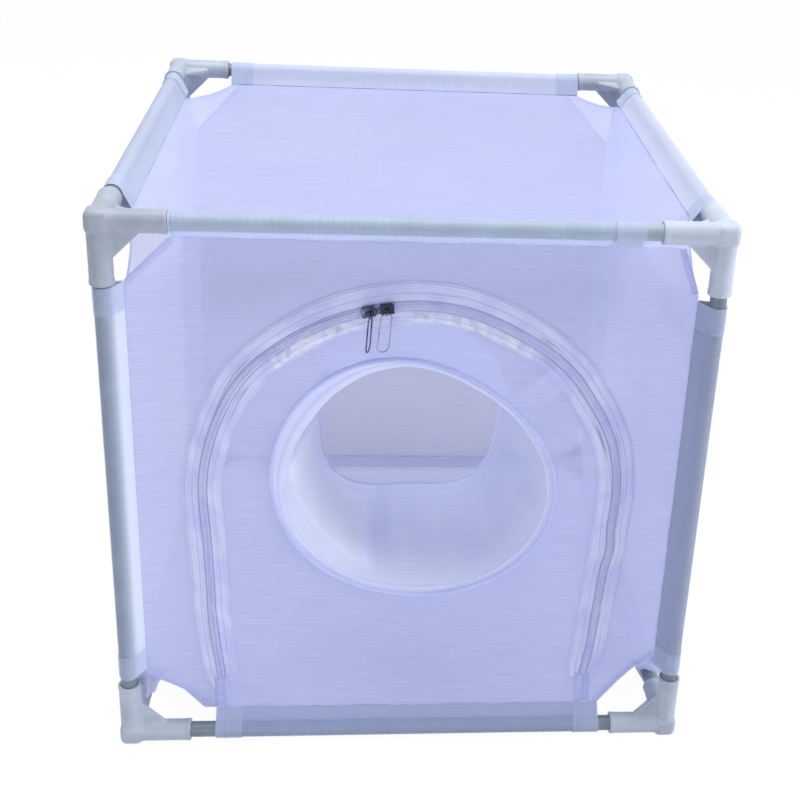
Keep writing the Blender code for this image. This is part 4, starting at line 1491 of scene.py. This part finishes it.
def slider_bmesh(facing, turned):
    bm = bmesh.new()
    block(bm, PLATE, (0, -PLATE_RISE, 0), 0.00035, narrow=0.32)
    for side in (-1, 1):
        block(bm, FLANGE, (-0.0004, 0.0010 - PLATE_RISE, side * (PLATE[1] / 2 - 0.0004)), 0.00025)
        block(bm, RIB_BLOCK, (0, -PLATE_RISE - 0.0006, side * 0.0018), 0.0002)
    block(bm, NOSE_BLOCK, (PLATE[0] * 0.36, -PLATE_RISE - 0.0005, 0), 0.0003)
    front_y = BAR_FRONT - FRONT_Y
    half = [(BAR_HALF, -PLATE_RISE), (BAR_HALF, front_y + BAR_BEND), (BAR_HALF - BAR_BEND, front_y)]
    bent = [(-x, y) for x, y in half] + half[::-1]
    join(bm, wire_bmesh([Vector((x, y, 0)) for x, y in bent], PULL_WIRE, roundness=2))
    bmesh.ops.transform(bm, matrix=Matrix.Diagonal((facing, 1, 1, 1)), verts=bm.verts)
    if facing < 0:
        bmesh.ops.reverse_faces(bm, faces=bm.faces)
    lift = Matrix.Translation((ARCH_X, FRONT_Y, ARCH_Z)) @ Matrix.Rotation(turned, 4, "Y")
    bmesh.ops.transform(bm, matrix=lift @ Matrix.Translation((0, 0, ARCH_RADIUS)), verts=bm.verts)
    return bm


# %% [markdown]
# A long loop of bent wire hangs from each slider's small ring. It is bent anew here, because the real loops
# hang a little lower than the model's. The left one has turned edge-on.
# %% Sliders and their pulls
ROUND_END = 0.0038  # half of the loop's width at its lower end
BOW = 0.0034  # half of its width in the ring
BOW_FLATTENED = 0.7


def long_loop(top, low, twist, lean):
    """A narrow bow in the ring, straight sides and a round end; lean is its end's way left."""
    points = []
    for step in range(13):
        turned = math.pi * step / 12
        points.append((ROUND_END * math.cos(turned), low + ROUND_END - ROUND_END * math.sin(turned)))
    for step in range(9):
        turned = math.pi * step / 8
        points.append((-BOW * math.cos(turned), top + BOW * BOW_FLATTENED * (math.sin(turned) - 1)))
    share = lean / (top - low)
    return [(x * math.cos(twist) - share * (top - z), x * math.sin(twist), z) for x, z in points]


WIRE_INSET = 0.0005
for side, facing, twist, longer, lean, metal in (
    ("left", 1, 70, 0.0050, 0.0014, pull_metal),
    ("right", -1, 8, 0.0068, 0.0024, loop_metal),
):
    place = middle(f"slider_{side}")
    body = f"slider_{side}"
    turned = math.atan2(place.x - ARCH_X, place.z - ARCH_Z)
    make_piece(f"cast_{body}", slider_bmesh(facing, turned), pull_metal, body, [body])
    body = f"pull_loop_{side}"
    low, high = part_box(body)
    hung = middle(body)
    loop = long_loop(high[2] - WIRE_INSET, low[2] + WIRE_INSET - longer, math.radians(twist), lean)
    points = [Vector((hung.x + x, hung.y + y, z)) for x, y, z in loop]
    wire = wire_bmesh(points, PULL_WIRE, closed=True, roundness=2)
    make_piece(f"wire_loop_{side}", wire, metal, body, [body])
    for slot in bpy.data.objects[f"pull_link_{side}"].material_slots:
        slot.material = pull_metal

# %% [markdown]
# ## Studio
# The photograph's background is pure white, yet the cloth in front of it isn't washed out. So the paper and
# the sky shine white only for a ray that reaches them directly, and light the cage softly otherwise.
# %% Floor and sky
PAPER_HALF = 6
floor = bmesh.new()
bmesh.ops.create_grid(floor, x_segments=1, y_segments=1, size=PAPER_HALF)
ground = added("studio_floor", mesh_of("studio_floor", floor))


def seen_directly(finish, through_cloth=0.0):
    """1 for a ray that shows the white backdrop: from the camera with no cloth on its way, or off metal."""
    kind = finish.node("ShaderNodeLightPath", output="Is Camera Ray")
    outputs = kind.socket.node.outputs
    cloth = Number(finish, outputs["Transparent Depth"])
    direct = kind * (1 - cloth.least(1.0) * (1 - through_cloth))
    shiny = Number(finish, outputs["Is Glossy Ray"]).most(Number(finish, outputs["Is Transmission Ray"]))
    return direct.most(shiny)


paper = Finish("studio_paper", base_color=(0.78, 0.78, 0.84), roughness=0.9)
glow = paper.node("ShaderNodeEmission", {}, {"Color": (1, 1, 1), "Strength": 1.03})
paper.show(seen_directly(paper, through_cloth=0.35) * 0.93, Number(paper, paper.shader.outputs[0]), glow)
ground.data.materials.append(paper.material)


class Sky(Finish):
    """The world's own light, mixed the same way."""

    def __init__(self):
        self.material = bpy.data.worlds.new("studio_sky")
        self.material.use_nodes = True
        self.tree = self.material.node_tree


sky = Sky()
bpy.context.scene.world = sky.material
soft = sky.node("ShaderNodeBackground", {}, {"Color": (0.90, 0.92, 1.0), "Strength": 0.34})
white = sky.node("ShaderNodeBackground", {}, {"Color": (1, 1, 1), "Strength": 1.0})
mixed = sky.node("ShaderNodeMixShader", {}, {0: seen_directly(sky), 1: soft, 2: white})
sky.feed(sky.tree.nodes["World Output"].inputs["Surface"], mixed)

# %% [markdown]
# Three round soft lamps light the cage: a large one above, one from the right, and a weak one low in front.
# Light passes through many layers of netting, so more of them than usual may be clear.
# %% Lamps
LAMPS = (
    ("overhead", (-0.1, 0.0, 2.4), 1.6, 49),
    ("right", (1.6, -0.45, 0.5), 0.9, 15),
    ("low_front", (-0.25, -0.75, 0.06), 0.4, 1.4),
)  # name, place, size and power
for name, place, size, power in LAMPS:
    data = bpy.data.lights.new(name, "AREA")
    data.color = (0.94, 0.96, 1.0)
    data.shape = "DISK"
    data.size = size
    data.energy = power
    lamp = added(name, data)
    lamp.location = place
    lamp.visible_camera = False
    lamp.rotation_mode = "QUATERNION"
    lamp.rotation_quaternion = (CENTRE - Vector(place)).to_track_quat("-Z", "Y")

bpy.context.scene.view_settings.view_transform = "Standard"
bpy.context.scene.cycles.transparent_max_bounces = 24
print("lamps:", len(LAMPS))
